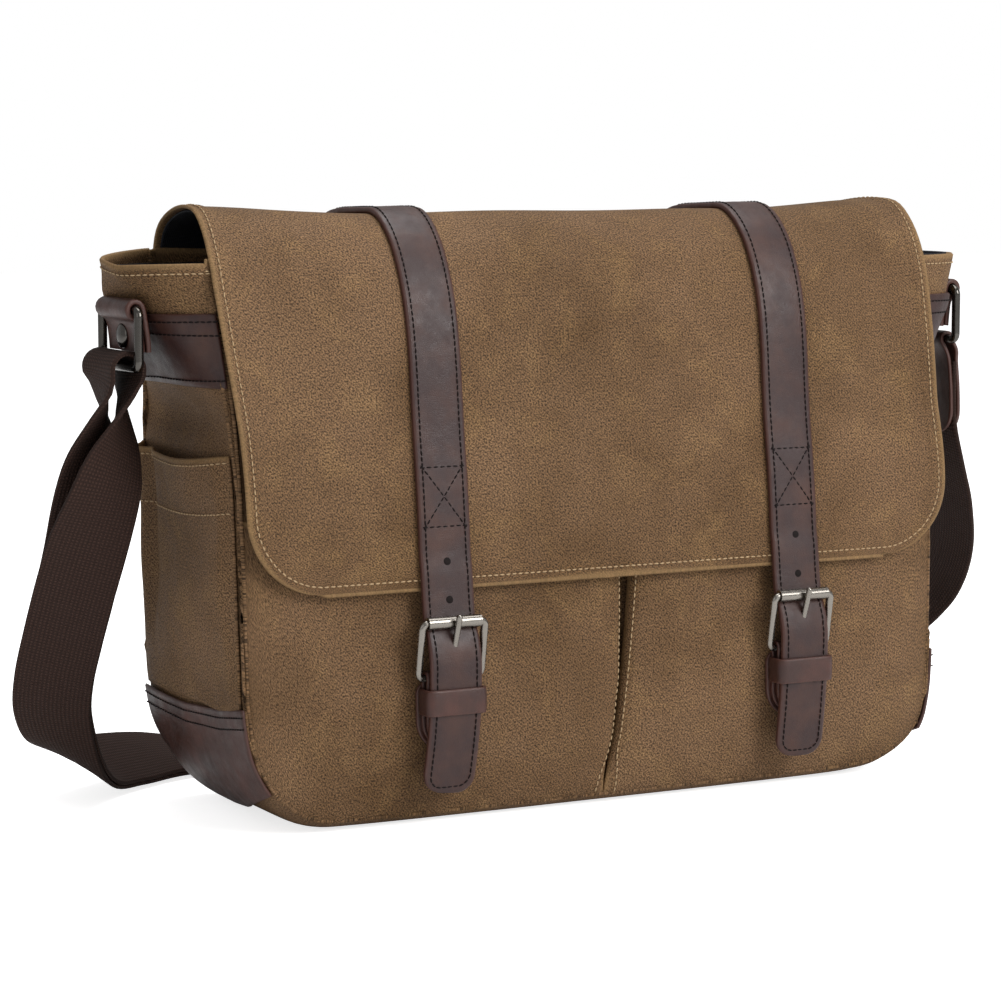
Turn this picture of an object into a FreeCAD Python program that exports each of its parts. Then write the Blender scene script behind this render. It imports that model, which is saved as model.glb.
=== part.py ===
"""Waxed-canvas messenger bag with leather trim, millimetres.

X runs to the right, Y to the back and Z up. The origin is on the floor, under the
middle of the bag. The bag stands closed, with its shoulder strap lying behind it.
"""
import FreeCAD, Part
import math
import os

from FreeCAD import Vector

# ---- bag body --------------------------------------------------------------
WIDTH = 385.0            # seam to seam, across the front
DEPTH = 122.0            # gusset width at the base
HEIGHT = 270.0           # floor to rim
FORWARD = (DEPTH - 122.0) / 2   # the side lines are drawn for this depth
UPWARD = HEIGHT - 270.0         # and this height
CORNER_R = 44.0          # rounded bottom corners of the front and back
CANVAS = 2.0             # doubled waxed canvas
GAP = 0.3                # room between pieces that don't touch
FRONT_STEP = 4.0         # front panel set back from half the depth, room for the pockets
FRONT_RIM_Y = 35.0
FRONT_BREAK_Z = 152.0    # above it the front leans in
BACK_RIM_Y = 44.0
BACK_BREAK_Z = 180.0     # above it the back leans in
RIM_SPREAD = 7.5         # how far each rim corner stands outside the seam
GUSSET_BREAK_Z = 185.0   # above it the gussets flare out
GUSSET_MID_Z = 240.0
GUSSET_FLAT = 20.0       # half the flat part of the flared gusset
GUSSET_MID_OUT = {"left": 20.0, "right": 28.0}
GUSSET_RIM_OUT = {"left": 47.5, "right": 57.5}

# ---- inside ----------------------------------------------------------------
LINING = 0.8
LINING_TOP_Z = HEIGHT - 8.0
BOARD = (300.0, 100.0, 3.0)
SLEEVE_PAD = 6.0
SLEEVE_ROOM = 26.0       # depth of the laptop space
SLEEVE_TOP_Z = 215.0

# ---- pockets ---------------------------------------------------------------
POCKET_CLOTH = 1.2
FRONT_POCKET_DEEP = 5.8
FRONT_POCKET_TOP_Z = 150.0
POCKET_SPLIT_X = 9.5
POCKET_SPLIT_GAP = 5.0
SIDE_POCKET_DEEP = 5.8
SIDE_POCKET_Z = (62.0, 178.0)
SIDE_POCKET_INSET = 2.0

# ---- leather on the gussets ------------------------------------------------
LEATHER = 1.8
PATCH_Z = (7.0, 61.0)
BAND_Z = (213.0, 244.0)
ROLL_Z = 247.0
ROLL_OUT = {"left": 35.0, "right": 43.5}
ROLL_LENGTH = 38.0
ROLL_WALL = 2.6
ROLL_TAIL_Z = 227.0
RIVET_Z = 234.0
RIVET_R = 5.0
RIVET_STEM_R = 1.5
RIVET_HEAD = 1.8

# ---- strap rings -----------------------------------------------------------
RING_WIRE = 4.4
RING_INNER = 41.0        # clear length for the webbing
RING_HEIGHT = 31.5       # outer height
RING_CLEAR = 0.35        # ring wire inside the leather roll
RING_BEND = 3.4          # radius of its corners, at the wire's centre

# ---- flap ------------------------------------------------------------------
FLAP = 1.6
FLAP_LINING = 1.2
FLAP_HALF = (192.0, 198.5)   # half width at its bottom edge and over the rim
FLAP_EDGE_Z = 116.0 + UPWARD
FLAP_CORNER_R = 38.0
HINGE_Z = 262.0 + UPWARD
HINGE_START = 0.4            # the cloth starts this far above the hinge line
FLAP_LINE = [(48.4, 262.0), (46.8, 273.0), (41.0, 283.0), (30.0, 290.5), (13.0, 295.2),
             (-5.0, 296.5), (-21.5, 292.5), (-35.0, 278.0), (-44.0, 256.0),
             (-53.4, 220.0), (-60.0, 190.0), (-64.8, 165.0), (-67.2, 138.0),
             (-67.8, 112.0)]    # outer face of the flap, from the rear seam to its edge
FLAP_LINE = [(y + math.copysign(FORWARD, y), z + UPWARD) for y, z in FLAP_LINE]

# ---- closing straps --------------------------------------------------------
STRAP_X = {"left": -92.5, "right": 104.0}
STRAP_WIDE = 27.0
STRAP = 3.0
STRAP_REST = 0.3             # between the strap and the flap under it
STRAP_START_Y = 38.0         # where the strap is sewn, just above the hinge
STRAP_TIP_Z = 18.0
HOLE_R = 1.6
HOLE_Z = (128.0, 110.0)
BILLET_LINE = [(-69.8, 126.0), (-71.2, 114.0), (-73.2, 99.5), (-76.6, 86.0), (-79.6, 72.5),
               (-79.5, 60.0), (-78.2, 42.0), (-75.5, 16.0)]   # middle of the strap
BILLET_LINE = [(y - FORWARD, z) for y, z in BILLET_LINE]

# ---- roller buckles --------------------------------------------------------
HEEL = (-73.5 - FORWARD, 73.0)     # y, z of the bar that the buckle hangs on
ROLLER = (-77.9 - FORWARD, 99.5)   # y, z of the roller's bar
BAR_R = 1.5
ROLLER_R = 3.0
FRAME_WIRE_R = 1.9
FRAME_ROOM = 1.2             # each side of the strap, inside the frame
FRAME_OUTER = STRAP_WIDE + 2 * FRAME_ROOM + 4 * FRAME_WIRE_R
ROLLER_LONG = STRAP_WIDE + 1.0
RUN = 0.1                    # radial running clearance on the bars
PRONG_R = 1.5
PRONG_EYE_R = 3.1
PRONG_WIDE = 4.0
PRONG_SLOT = (5.0, 15.5)     # slot in the strap that the prong comes through
CHAPE = 1.8
CHAPE_TIP_Z = 38.0
CHAPE_SLOT = 6.0
KEEPER_Z = (56.0, 68.0)
KEEPER = 1.6
KEEPER_SIDE = 0.6            # room each side of the strap
KEEPER_FRONT_Y = -81.6 - FORWARD   # inner face of its front
SNAP_R = 7.0
SNAP_Z = 46.0
TAB_WIDE = STRAP_WIDE + 4.0
TAB = 2.0
TAB_Z = (36.5, 71.0)

# ---- shoulder strap --------------------------------------------------------
WEBBING_WIDE = 38.0
WEBBING = 2.2
PIVOT_R = 60.0               # the strap's ends hang this far below the rings' lower bars
PIVOT_GAP = 1.6
TAB_LEATHER = 2.0
END_TAB_WIDE = 30.0
END_TAB_DROP = 50.0          # leather tab, from the ring's lower bar to its tip
SLIDE_X = -55.0
SLIDE_Y = 124.0
SLIDE_BAR_R = 1.6
SLIDE_LONG = 30.0
EYE_R = 4.0                  # outside of the webbing wound round the slide's middle bar
LAP = 0.4                    # room between the two layers of webbing where they lie
ROUTE_DEPTH = 122.0          # the routes below are stated for this depth
ROUTE_TOP_Z = 219.9          # and for a ring bar at this height
ROUTE_LYING_Z = 16.0         # below it a route keeps its height

# centre line between the two layers on the left, from the ring to the slide: x measured
# outwards from the ring, y, z, then the direction of the webbing's width and the spread
# of its two layers
LEFT_ROUTE = [
    ((3.5, 0.0, 219.2), (0.00, 1.00, 0.00), 15.6),
    ((3.5, 0.0, 212.0), (0.05, 1.00, 0.00), 15.2),
    ((3.4, 0.0, 202.0), (0.42, 0.91, 0.00), 14.0),
    ((7.2, 0.0, 183.0), (0.86, 0.50, 0.00), 13.0),
    ((11.0, 0.5, 165.0), (0.98, 0.20, -0.06), 14.0),
    ((13.2, 6.0, 147.0), (0.99, -0.10, -0.12), 12.0),
    ((15.2, 12.5, 129.0), (0.94, -0.34, -0.14), 9.0),
    ((17.4, 21.0, 109.0), (0.88, -0.46, -0.14), 7.0),
    ((19.4, 30.5, 88.0), (0.88, -0.47, -0.12), 5.4),
    ((20.2, 41.0, 67.0), (0.87, -0.48, -0.10), 4.4),
    ((16.6, 53.0, 48.0), (0.85, -0.50, -0.15), 3.6),
    ((5.0, 67.0, 28.0), (0.75, -0.58, -0.30), 3.0),
    ((-14.0, 84.0, 15.5), (0.55, -0.66, -0.50), 2.7),
    ((-37.0, 99.0, 13.0), (0.42, -0.74, -0.52), 2.6),
    ((-64.0, 113.0, 10.8), (0.40, -0.82, -0.40), 2.6),
    ((-100.0, 122.0, 6.2), (0.15, -0.97, -0.16), 2.6),
    ((-135.0, 124.0, 2.9), (0.00, -1.00, 0.00), 2.6),
]
# the single layer from the slide to the right ring: x outwards from the ring, y, z
RIGHT_ROUTE = [
    ((4.5, 0.0, 171.0), (0.0, -1.0, 0.0)),
    ((12.0, 4.0, 152.0), (0.0, -1.0, 0.0)),
    ((21.5, 11.0, 133.0), (0.0, -1.0, 0.0)),
    ((31.0, 22.0, 111.0), (0.05, -1.0, 0.0)),
    ((36.5, 36.0, 91.0), (0.05, -1.0, 0.0)),
    ((37.0, 50.0, 75.0), (0.05, -1.0, 0.0)),
    ((32.0, 68.0, 58.0), (0.05, -1.0, 0.0)),
    ((18.0, 88.0, 37.0), (0.05, -1.0, 0.0)),
    ((-8.0, 107.0, 16.5), (0.02, -1.0, 0.0)),
    ((-46.0, 120.0, 5.0), (0.0, -1.0, 0.0)),
    ((-90.0, 124.0, 1.6), (0.0, -1.0, 0.0)),
    ((-170.0, 125.0, 1.6), (0.0, -1.0, 0.0)),
]

HALF = WIDTH / 2
FRONT_Y = DEPTH / 2 - FRONT_STEP
SIDES = {"left": -1, "right": 1}
RING_X = {side: HALF + ROLL_OUT[side] for side in SIDES}
RING_BAR_Z = ROLL_Z - RING_HEIGHT + RING_WIRE
HINGE_Y = FLAP_LINE[0][0] - (FLAP + FLAP_LINING) / 2
FAR = 1000.0


# ---- small helpers ---------------------------------------------------------
def mix(table, z):
    """Value at height z of a list of (z, value) pairs, straight between them."""
    for (z0, v0), (z1, v1) in zip(table, table[1:]):
        if z <= z1:
            return v0 + (v1 - v0) * (z - z0) / (z1 - z0)
    return table[-1][1]


def front_y(z):
    return -mix([(0, FRONT_Y), (FRONT_BREAK_Z, FRONT_Y), (HEIGHT, FRONT_RIM_Y)], z)


def back_y(z):
    return mix([(0, DEPTH / 2), (BACK_BREAK_Z, DEPTH / 2), (HEIGHT, BACK_RIM_Y)], z)


def seam_x(z):
    return mix([(0, HALF), (GUSSET_BREAK_Z, HALF), (HEIGHT, HALF + RIM_SPREAD)], z)


def gusset_x(side, z):
    return mix([(0, HALF), (GUSSET_BREAK_Z, HALF),
                (GUSSET_MID_Z, HALF + GUSSET_MID_OUT[side]), (HEIGHT, HALF + GUSSET_RIM_OUT[side])], z)


LEVELS = [0.0, CORNER_R, FRONT_BREAK_Z, BACK_BREAK_Z, GUSSET_BREAK_Z, GUSSET_MID_Z, HEIGHT]


def between(low, high):
    return [low] + [z for z in LEVELS if low + 0.5 < z < high - 0.5] + [high]


def polygon(points):
    return Part.makePolygon(list(points) + [points[0]])


def loft(sections):
    """Ruled solid through closed polygons that have the same number of corners."""
    return Part.makeLoft([polygon(s) for s in sections], True, True)


def block(x, y, z):
    """Box from three (low, high) pairs."""
    return Part.makeBox(x[1] - x[0], y[1] - y[0], z[1] - z[0], Vector(x[0], y[0], z[0]))


def mirror_x(shape):
    return shape.mirror(Vector(0, 0, 0), Vector(1, 0, 0))


def rod(start, end, radius):
    run = end - start
    return Part.makeCylinder(radius, run.Length, start, run)


def outline(half, bottom, radius, top=FAR, y=-FAR):
    """Front outline with two rounded bottom corners, as a prism along Y."""
    k = radius * (1 - math.sqrt(0.5))
    a, b = Vector(-half, y, top), Vector(half, y, top)
    c, d = Vector(half, y, bottom + radius), Vector(half - radius, y, bottom)
    e, f = Vector(radius - half, y, bottom), Vector(-half, y, bottom + radius)
    edges = [Part.makeLine(a, b), Part.makeLine(b, c),
             Part.Arc(c, Vector(half - k, y, bottom + k), d).toShape(),
             Part.makeLine(d, e),
             Part.Arc(e, Vector(k - half, y, bottom + k), f).toShape(),
             Part.makeLine(f, a)]
    return Part.Face(Part.Wire(edges)).extrude(Vector(0, 2 * FAR, 0))


def body_outline(inset):
    """The bag's front outline, inset; the sides go straight up, far past any flare."""
    low = outline(HALF - inset, inset, max(CORNER_R - inset, 1.0))
    wide = block((-FAR, FAR), (-FAR, FAR), (CORNER_R, FAR))
    return low.fuse(wide).removeSplitter()


def tongue(x, wide, tip_z, top_z=FAR):
    """Strap outline with a rounded tip, as a prism along Y."""
    r = wide / 2
    stem = block((x - r, x + r), (-FAR, FAR), (tip_z + r, top_z))
    return stem.fuse(Part.makeCylinder(r, 2 * FAR, Vector(x, -FAR, tip_z + r), Vector(0, 1, 0)))


def curve_points(line):
    """A smooth curve through (y, z) points."""
    curve = Part.BSplineCurve()
    curve.interpolate([Vector(0, y, z) for y, z in line])
    return curve


def skin(line, inner, outer, x0, x1, count=30):
    """Sheet between two offsets from a smooth (y, z) line, from x0 to x1.

    Offsets count to the right of the line's direction, which is the bag's inside for a
    line that runs from the rear seam over the top and down the front."""
    curve = curve_points(line)
    first, last = curve.FirstParameter, curve.LastParameter
    faces = []
    for offset in (inner, outer):
        moved = []
        for i in range(count + 1):
            u = first + (last - first) * i / count
            along = curve.tangent(u)[0]
            moved.append(curve.value(u) + Vector(0, -along.z, along.y) * offset)
        side = Part.BSplineCurve()
        side.interpolate(moved)
        faces.append((side.toShape(), moved))
    (low, a), (high, b) = faces
    wire = Part.Wire([low, Part.makeLine(a[-1], b[-1]), high, Part.makeLine(b[0], a[0])])
    return Part.Face(wire).translate(Vector(x0, 0, 0)).extrude(Vector(x1 - x0, 0, 0))


def loop_wire(half_a, half_b, bend, a, b, centre):
    """Rounded rectangle of centre line in the plane of unit vectors a and b."""
    k = bend * (1 - math.sqrt(0.5))
    corners = []
    for sa, sb in ((1, 1), (-1, 1), (-1, -1), (1, -1)):
        p = centre + a * sa * (half_a - (bend if sa * sb > 0 else 0)) \
            + b * sb * (half_b - (0 if sa * sb > 0 else bend))
        q = centre + a * sa * (half_a - (0 if sa * sb > 0 else bend)) \
            + b * sb * (half_b - (bend if sa * sb > 0 else 0))
        m = centre + a * sa * (half_a - k) + b * sb * (half_b - k)
        corners.append((q, m, p))
    edges = []
    for i, (q, m, p) in enumerate(corners):
        edges.append(Part.Arc(q, m, p).toShape())
        edges.append(Part.makeLine(p, corners[(i + 1) % 4][0]))
    return Part.Wire(edges)


def wire_loop(path, radius):
    """Round wire swept along a closed path."""
    edge = path.Edges[1]
    start = edge.valueAt((edge.FirstParameter + edge.LastParameter) / 2)
    along = edge.tangentAt((edge.FirstParameter + edge.LastParameter) / 2)
    split = [Part.makeLine(start, edge.valueAt(edge.LastParameter))]
    split += [path.Edges[i % 8] for i in range(2, 9)]
    split += [Part.makeLine(edge.valueAt(edge.FirstParameter), start)]
    ring = Part.Wire(Part.makeCircle(radius, start, along))
    return Part.Wire(split).makePipeShell([ring], True, False)


# ---- body panels -----------------------------------------------------------
def make_panels():
    """Front and back: plates that lean in above their break lines."""
    plates = {}
    for name, edge, inward in (("front_panel", front_y, 1), ("back_panel", back_y, -1)):
        sections = []
        for z in between(0, HEIGHT):
            x, y = seam_x(z), edge(z)
            sections.append([Vector(-x, y, z), Vector(x, y, z),
                             Vector(x, y + inward * CANVAS, z), Vector(-x, y + inward * CANVAS, z)])
        plates[name] = loft(sections).common(body_outline(0))
    return plates


def gusset_points(side, z, low, high):
    """Outer line of a gusset in plan, from front to back, low to high outside it."""
    s = SIDES[side]
    edge, apex = seam_x(z), gusset_x(side, z)
    front, back = front_y(z) + CANVAS, back_y(z) - CANVAS
    flat = GUSSET_FLAT
    line = [(edge, front), (apex, -flat), (apex, flat), (edge, back)]
    outer = [Vector(s * (x + high), y, z) for x, y in line]
    inner = [Vector(s * (x + low), y, z) for x, y in reversed(line)]
    return outer + inner


def gusset_skin(side, low, high, z0, z1):
    return loft([gusset_points(side, z, low, high) for z in between(z0, z1)])


def make_base():
    """Bottom and both rounded corners, in one strip up to the gussets."""
    strip = outline(HALF, 0, CORNER_R).cut(
        outline(HALF - CANVAS, CANVAS, CORNER_R - CANVAS))
    return strip.common(block((-FAR, FAR), (CANVAS - FRONT_Y, DEPTH / 2 - CANVAS), (0, CORNER_R)))


def inner_hull(inset, z0, z1):
    """Room inside the canvas, inset from its outer faces, as one solid."""
    sections = []
    for z in between(z0, z1):
        front, back = front_y(z) + inset, back_y(z) - inset
        row = []
        for side in ("left", "right"):
            s, edge, apex = SIDES[side], seam_x(z) - inset, gusset_x(side, z) - inset
            part = [Vector(s * edge, front, z), Vector(s * apex, -GUSSET_FLAT, z),
                    Vector(s * apex, GUSSET_FLAT, z), Vector(s * edge, back, z)]
            row += part if side == "right" else part[::-1]
        sections.append(row)
    return loft(sections).common(body_outline(inset))


def make_inside():
    skin_at = CANVAS + GAP
    room_at = skin_at + LINING
    lining = inner_hull(skin_at, 0, LINING_TOP_Z).cut(inner_hull(room_at, 0, HEIGHT))
    long, wide, thick = BOARD
    low = room_at + GAP
    board = block((-long / 2, long / 2), (-wide / 2, wide / 2), (low, low + thick))
    back = DEPTH / 2 - room_at
    front = back - SLEEVE_ROOM - SLEEVE_PAD
    pad = block((-FAR, FAR), (front, front + SLEEVE_PAD), (low + thick + GAP, SLEEVE_TOP_Z))
    return {"lining": lining, "base_board": board,
            "laptop_sleeve": pad.common(inner_hull(room_at + GAP, 0, HEIGHT))}


# ---- pockets ---------------------------------------------------------------
def pocket_shell(offset, z1, inset):
    """Solid in front of the front panel, offset outwards, up to z1."""
    sections = []
    for z in between(0, z1):
        y = front_y(z)
        x = HALF - inset
        sections.append([Vector(-x, y - offset, z), Vector(x, y - offset, z),
                         Vector(x, y, z), Vector(-x, y, z)])
    return loft(sections).common(body_outline(inset))


def make_front_pockets():
    inset = 1.0
    outer = pocket_shell(FRONT_POCKET_DEEP, FRONT_POCKET_TOP_Z, inset)
    hollow = pocket_shell(FRONT_POCKET_DEEP - POCKET_CLOTH, FRONT_POCKET_TOP_Z + 1, inset + POCKET_CLOTH)
    edge = {"left": POCKET_SPLIT_X - POCKET_SPLIT_GAP / 2, "right": POCKET_SPLIT_X + POCKET_SPLIT_GAP / 2}
    pockets = {}
    for side, x in edge.items():
        lo, hi = (-FAR, x) if side == "left" else (x, FAR)
        room = (lo, x - POCKET_CLOTH) if side == "left" else (x + POCKET_CLOTH, hi)
        half = outer.common(block((lo, hi), (-FAR, FAR), (0, FAR)))
        inside = hollow.common(block(room, (-FAR, FAR), (0, FAR)))
        pockets["front_pocket_" + side] = half.cut(inside)
    return pockets


def side_pocket_block(inset, x, z0, z1):
    """Solid beside the gusset, out to x, inset from the front and back seams."""
    sections = []
    for z in between(z0, z1):
        front = front_y(z) + CANVAS + SIDE_POCKET_INSET + inset
        back = back_y(z) - CANVAS - SIDE_POCKET_INSET - inset
        sections.append([Vector(HALF + 0.05, front, z), Vector(x, front, z), Vector(x, back, z),
                         Vector(HALF + 0.05, back, z)])
    return loft(sections)


def make_side_pocket(side):
    z0, z1 = SIDE_POCKET_Z
    outer = side_pocket_block(0, HALF + SIDE_POCKET_DEEP, z0, z1)
    hollow = side_pocket_block(POCKET_CLOTH, HALF + SIDE_POCKET_DEEP - POCKET_CLOTH,
                               z0 + POCKET_CLOTH, z1 + 1)
    pocket = outer.cut(hollow)
    return pocket if SIDES[side] > 0 else mirror_x(pocket)


# ---- leather on the gussets ------------------------------------------------
def make_patch(side):
    """Leather round a bottom corner, outside the base strip and the gusset."""
    z0, z1 = PATCH_Z
    shell = outline(HALF + LEATHER + 0.05, -LEATHER - 0.05, CORNER_R + LEATHER + 0.05).cut(
        outline(HALF + 0.05, -0.05, CORNER_R + 0.05))
    patch = shell.common(block((HALF - CORNER_R * 0.75, FAR), (CANVAS - FRONT_Y, DEPTH / 2 - CANVAS),
                               (z0, z1)))
    return patch if SIDES[side] > 0 else mirror_x(patch)


def make_band(side):
    hole = rivet_hole(RING_X[side])
    band = gusset_skin(side, 0.1, 0.1 + LEATHER, *BAND_Z)
    return band.cut(hole if SIDES[side] > 0 else mirror_x(hole))


def make_roll(side):
    """Leather loop that holds the ring's upper bar, its two ends laid flat on the band."""
    x = RING_X[side]
    inner = RING_WIRE / 2 + RING_CLEAR
    outer = inner + ROLL_WALL
    at = Vector(x, -ROLL_LENGTH / 2, ROLL_Z)
    along = Vector(0, 1, 0)
    tube = Part.makeCylinder(outer, ROLL_LENGTH, at, along)
    foot_x = gusset_x(side, BAND_Z[1]) + LEATHER + 0.3
    tail = block((foot_x, x - inner), (-ROLL_LENGTH / 2, ROLL_LENGTH / 2), (ROLL_TAIL_Z, ROLL_Z - 1.5))
    roll = tube.fuse(tail).removeSplitter()
    roll = roll.cut(Part.makeCylinder(inner, ROLL_LENGTH, at, along))
    roll = roll.cut(rivet_hole(x))
    roll = roll.cut(loft([gusset_points("right", z, -FAR / 2, 0) for z in between(0, HEIGHT)]))
    return roll if SIDES[side] > 0 else mirror_x(roll)


def rivet_hole(x):
    return Part.makeCylinder(RIVET_STEM_R + RUN, 60, Vector(x - 50, 0, RIVET_Z), Vector(1, 0, 0))


def make_rivet(side):
    x = RING_X[side] - RING_WIRE / 2 - RING_CLEAR
    ball = Part.makeSphere(RIVET_R * 1.6, Vector(x + RIVET_HEAD - RIVET_R * 1.6, 0, RIVET_Z))
    disc = Part.makeCylinder(RIVET_R, RIVET_HEAD, Vector(x, 0, RIVET_Z), Vector(1, 0, 0)).common(ball)
    end = gusset_x(side, RIVET_Z) + LEATHER / 2
    stem = Part.makeCylinder(RIVET_STEM_R, x - end + 0.5, Vector(end, 0, RIVET_Z), Vector(1, 0, 0))
    rivet = disc.fuse(stem).removeSplitter()
    return rivet if SIDES[side] > 0 else mirror_x(rivet)


def make_ring(side):
    """Rectangular wire ring that hangs in the roll."""
    a, b = Vector(0, 1, 0), Vector(0, 0, 1)
    drop = (RING_HEIGHT - RING_WIRE) / 2
    centre = Vector(SIDES[side] * RING_X[side], 0, ROLL_Z - drop)
    path = loop_wire((RING_INNER + RING_WIRE) / 2, drop, RING_BEND, a, b, centre)
    return wire_loop(path, RING_WIRE / 2)


# ---- flap ------------------------------------------------------------------
def flap_outline(inset):
    """Flap's outline seen from the front: narrower and rounded at its bottom edge."""
    low, high = FLAP_HALF[0] - inset, FLAP_HALF[1] - inset
    bottom, r = FLAP_EDGE_Z + inset, FLAP_CORNER_R - inset
    k = r * (1 - math.sqrt(0.5))
    y = -FAR
    points = [Vector(high, y, HEIGHT), Vector(low, y, bottom + r), Vector(low - k, y, bottom + k),
              Vector(low - r, y, bottom)]
    left = [Vector(-p.x, p.y, p.z) for p in points]
    top, rise = Vector(high, y, FAR), Vector(-high, y, FAR)
    edges = [Part.makeLine(rise, top), Part.makeLine(top, points[0]),
             Part.makeLine(points[0], points[1]), Part.Arc(*points[1:]).toShape(),
             Part.makeLine(points[3], left[3]), Part.Arc(left[3], left[2], left[1]).toShape(),
             Part.makeLine(left[1], left[0]), Part.makeLine(left[0], rise)]
    return Part.Face(Part.Wire(edges)).extrude(Vector(0, 2 * FAR, 0))


def make_flap():
    above = block((-FAR, FAR), (-FAR, 0), (0, FAR)).fuse(
        block((-FAR, FAR), (0, FAR), (HINGE_Z + HINGE_START, FAR)))
    outer = skin(FLAP_LINE, 0, FLAP, -FAR / 4, FAR / 4)
    lining = skin(FLAP_LINE, FLAP + 0.05, FLAP + FLAP_LINING, -FAR / 4, FAR / 4)
    cut_outer, cut_lining = flap_outline(0), flap_outline(3.0)
    return {"flap_outer": outer.common(cut_outer).common(above),
            "flap_lining": lining.common(cut_lining).common(above)}


def strap_line(count=22):
    """Middle line of a closing strap: on the flap, then free down to its tip."""
    rise = STRAP / 2 + STRAP_REST
    curve = curve_points(FLAP_LINE)
    first = curve.parameter(Vector(0, *FLAP_LINE[1]))
    last = curve.parameter(Vector(0, *FLAP_LINE[-2]))
    line = []
    for i in range(count + 1):
        u = first + (last - first) * i / count
        at, along = curve.value(u), curve.tangent(u)[0]
        line.append((at.y + along.z * rise, at.z - along.y * rise))
    return line + BILLET_LINE


def make_flap_strap(side):
    x = STRAP_X[side]
    strip = skin(strap_line(), -STRAP / 2, STRAP / 2, x - STRAP_WIDE / 2, x + STRAP_WIDE / 2, 60)
    strip = strip.common(tongue(x, STRAP_WIDE, STRAP_TIP_Z))
    strip = strip.common(block((-FAR, FAR), (-FAR, STRAP_START_Y), (0, FAR)))
    for z in HOLE_Z:
        strip = strip.cut(Part.makeCylinder(HOLE_R, 40, Vector(x, -90, z), Vector(0, 1, 0)))
    wide, tall = PRONG_SLOT
    middle = HEEL[1] + 10.2
    return strip.cut(block((x - wide / 2, x + wide / 2), (-90, -60), (middle - tall / 2, middle + tall / 2)))


# ---- buckles ---------------------------------------------------------------
def make_buckle_frame(side):
    x = STRAP_X[side]
    heel, roller = Vector(x, *HEEL), Vector(x, *ROLLER)
    up = (roller - heel).normalize()
    half_up = (roller - heel).Length / 2
    half_x = FRAME_OUTER / 2 - FRAME_WIRE_R
    path = loop_wire(half_x, half_up, 3.0, Vector(1, 0, 0), up, (heel + roller) * 0.5)
    frame = wire_loop(path, FRAME_WIRE_R)
    inner = half_x - FRAME_WIRE_R
    for centre in (heel, roller):
        span = Vector(inner, 0, 0)
        thick = rod(centre - span, centre + span, FRAME_WIRE_R + 1)
        frame = frame.cut(thick).fuse(rod(centre - span * 1.05, centre + span * 1.05, BAR_R))
    return frame.removeSplitter()


def make_roller(side):
    centre = Vector(STRAP_X[side], *ROLLER)
    half = Vector(ROLLER_LONG / 2, 0, 0)
    tube = rod(centre - half, centre + half, ROLLER_R)
    return tube.cut(rod(centre - half * 2, centre + half * 2, BAR_R + RUN))


def make_prong(side):
    x = STRAP_X[side]
    heel = Vector(x, *HEEL)
    half = Vector(PRONG_WIDE / 2, 0, 0)
    tip = Vector(x, ROLLER[0] - ROLLER_R - PRONG_R - 0.4, ROLLER[1])
    along = (tip - heel).normalize()
    tip = tip + along * 3.0
    eye = rod(heel - half, heel + half, PRONG_EYE_R)
    bar = rod(heel + along * 1.5, tip, PRONG_R).fuse(Part.makeSphere(PRONG_R, tip))
    return eye.fuse(bar).cut(rod(heel - half * 2, heel + half * 2, BAR_R + RUN)).removeSplitter()


def make_chape(side):
    """Leather folded round the buckle's lower bar; its two layers carry the snap's stud."""
    x = STRAP_X[side]
    heel = Vector(x, *HEEL)
    half = Vector(STRAP_WIDE / 2, 0, 0)
    inner = BAR_R + 0.3
    outer = inner + CHAPE
    roll = rod(heel - half, heel + half, outer)
    legs = block((x - STRAP_WIDE / 2, x + STRAP_WIDE / 2), (HEEL[0] - CHAPE - 0.2, HEEL[0] + CHAPE),
                 (CHAPE_TIP_Z, HEEL[1]))
    chape = roll.fuse(legs).removeSplitter().cut(rod(heel - half * 2, heel + half * 2, inner))
    slot = block((x - CHAPE_SLOT / 2, x + CHAPE_SLOT / 2), (HEEL[0] - 9, HEEL[0] + 9),
                 (HEEL[1] - PRONG_EYE_R - 0.6, HEEL[1] + 12))
    return chape.cut(slot).common(tongue(x, STRAP_WIDE, CHAPE_TIP_Z))


def make_keeper(side):
    """Loop round the strap and the chape."""
    x = STRAP_X[side]
    z0, z1 = KEEPER_Z
    half = STRAP_WIDE / 2 + KEEPER_SIDE
    back = HEEL[0] + CHAPE + 0.3
    loop = block((x - half - KEEPER, x + half + KEEPER), (KEEPER_FRONT_Y - KEEPER, back + KEEPER), (z0, z1))
    loop = loop.makeFillet(1.4, [e for e in loop.Edges if abs(e.tangentAt(0).z) > 0.9])
    return loop.cut(block((x - half, x + half), (KEEPER_FRONT_Y, back), (z0 - 1, z1 + 1)))


def make_snap(side):
    """Sewn tab on the pocket with the snap's socket; the stud is on the chape."""
    x = STRAP_X[side]
    wall = front_y(SNAP_Z) - FRONT_POCKET_DEEP
    tab = block((x - FAR, x + FAR), (wall - TAB - 0.05, wall - 0.05), (TAB_Z[0], TAB_Z[1])).common(
        tongue(x, TAB_WIDE, TAB_Z[0]))
    face = wall - TAB - 0.1
    room = face - (HEEL[0] + CHAPE)
    deep = (room - GAP) / 2
    socket = Part.makeCylinder(SNAP_R, deep, Vector(x, face, SNAP_Z), Vector(0, -1, 0))
    stud = Part.makeCylinder(SNAP_R, deep - 0.05, Vector(x, HEEL[0] + CHAPE + 0.05, SNAP_Z), Vector(0, 1, 0))
    return {"snap_tab_" + side: tab, "snap_socket_" + side: socket, "snap_stud_" + side: stud}


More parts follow.
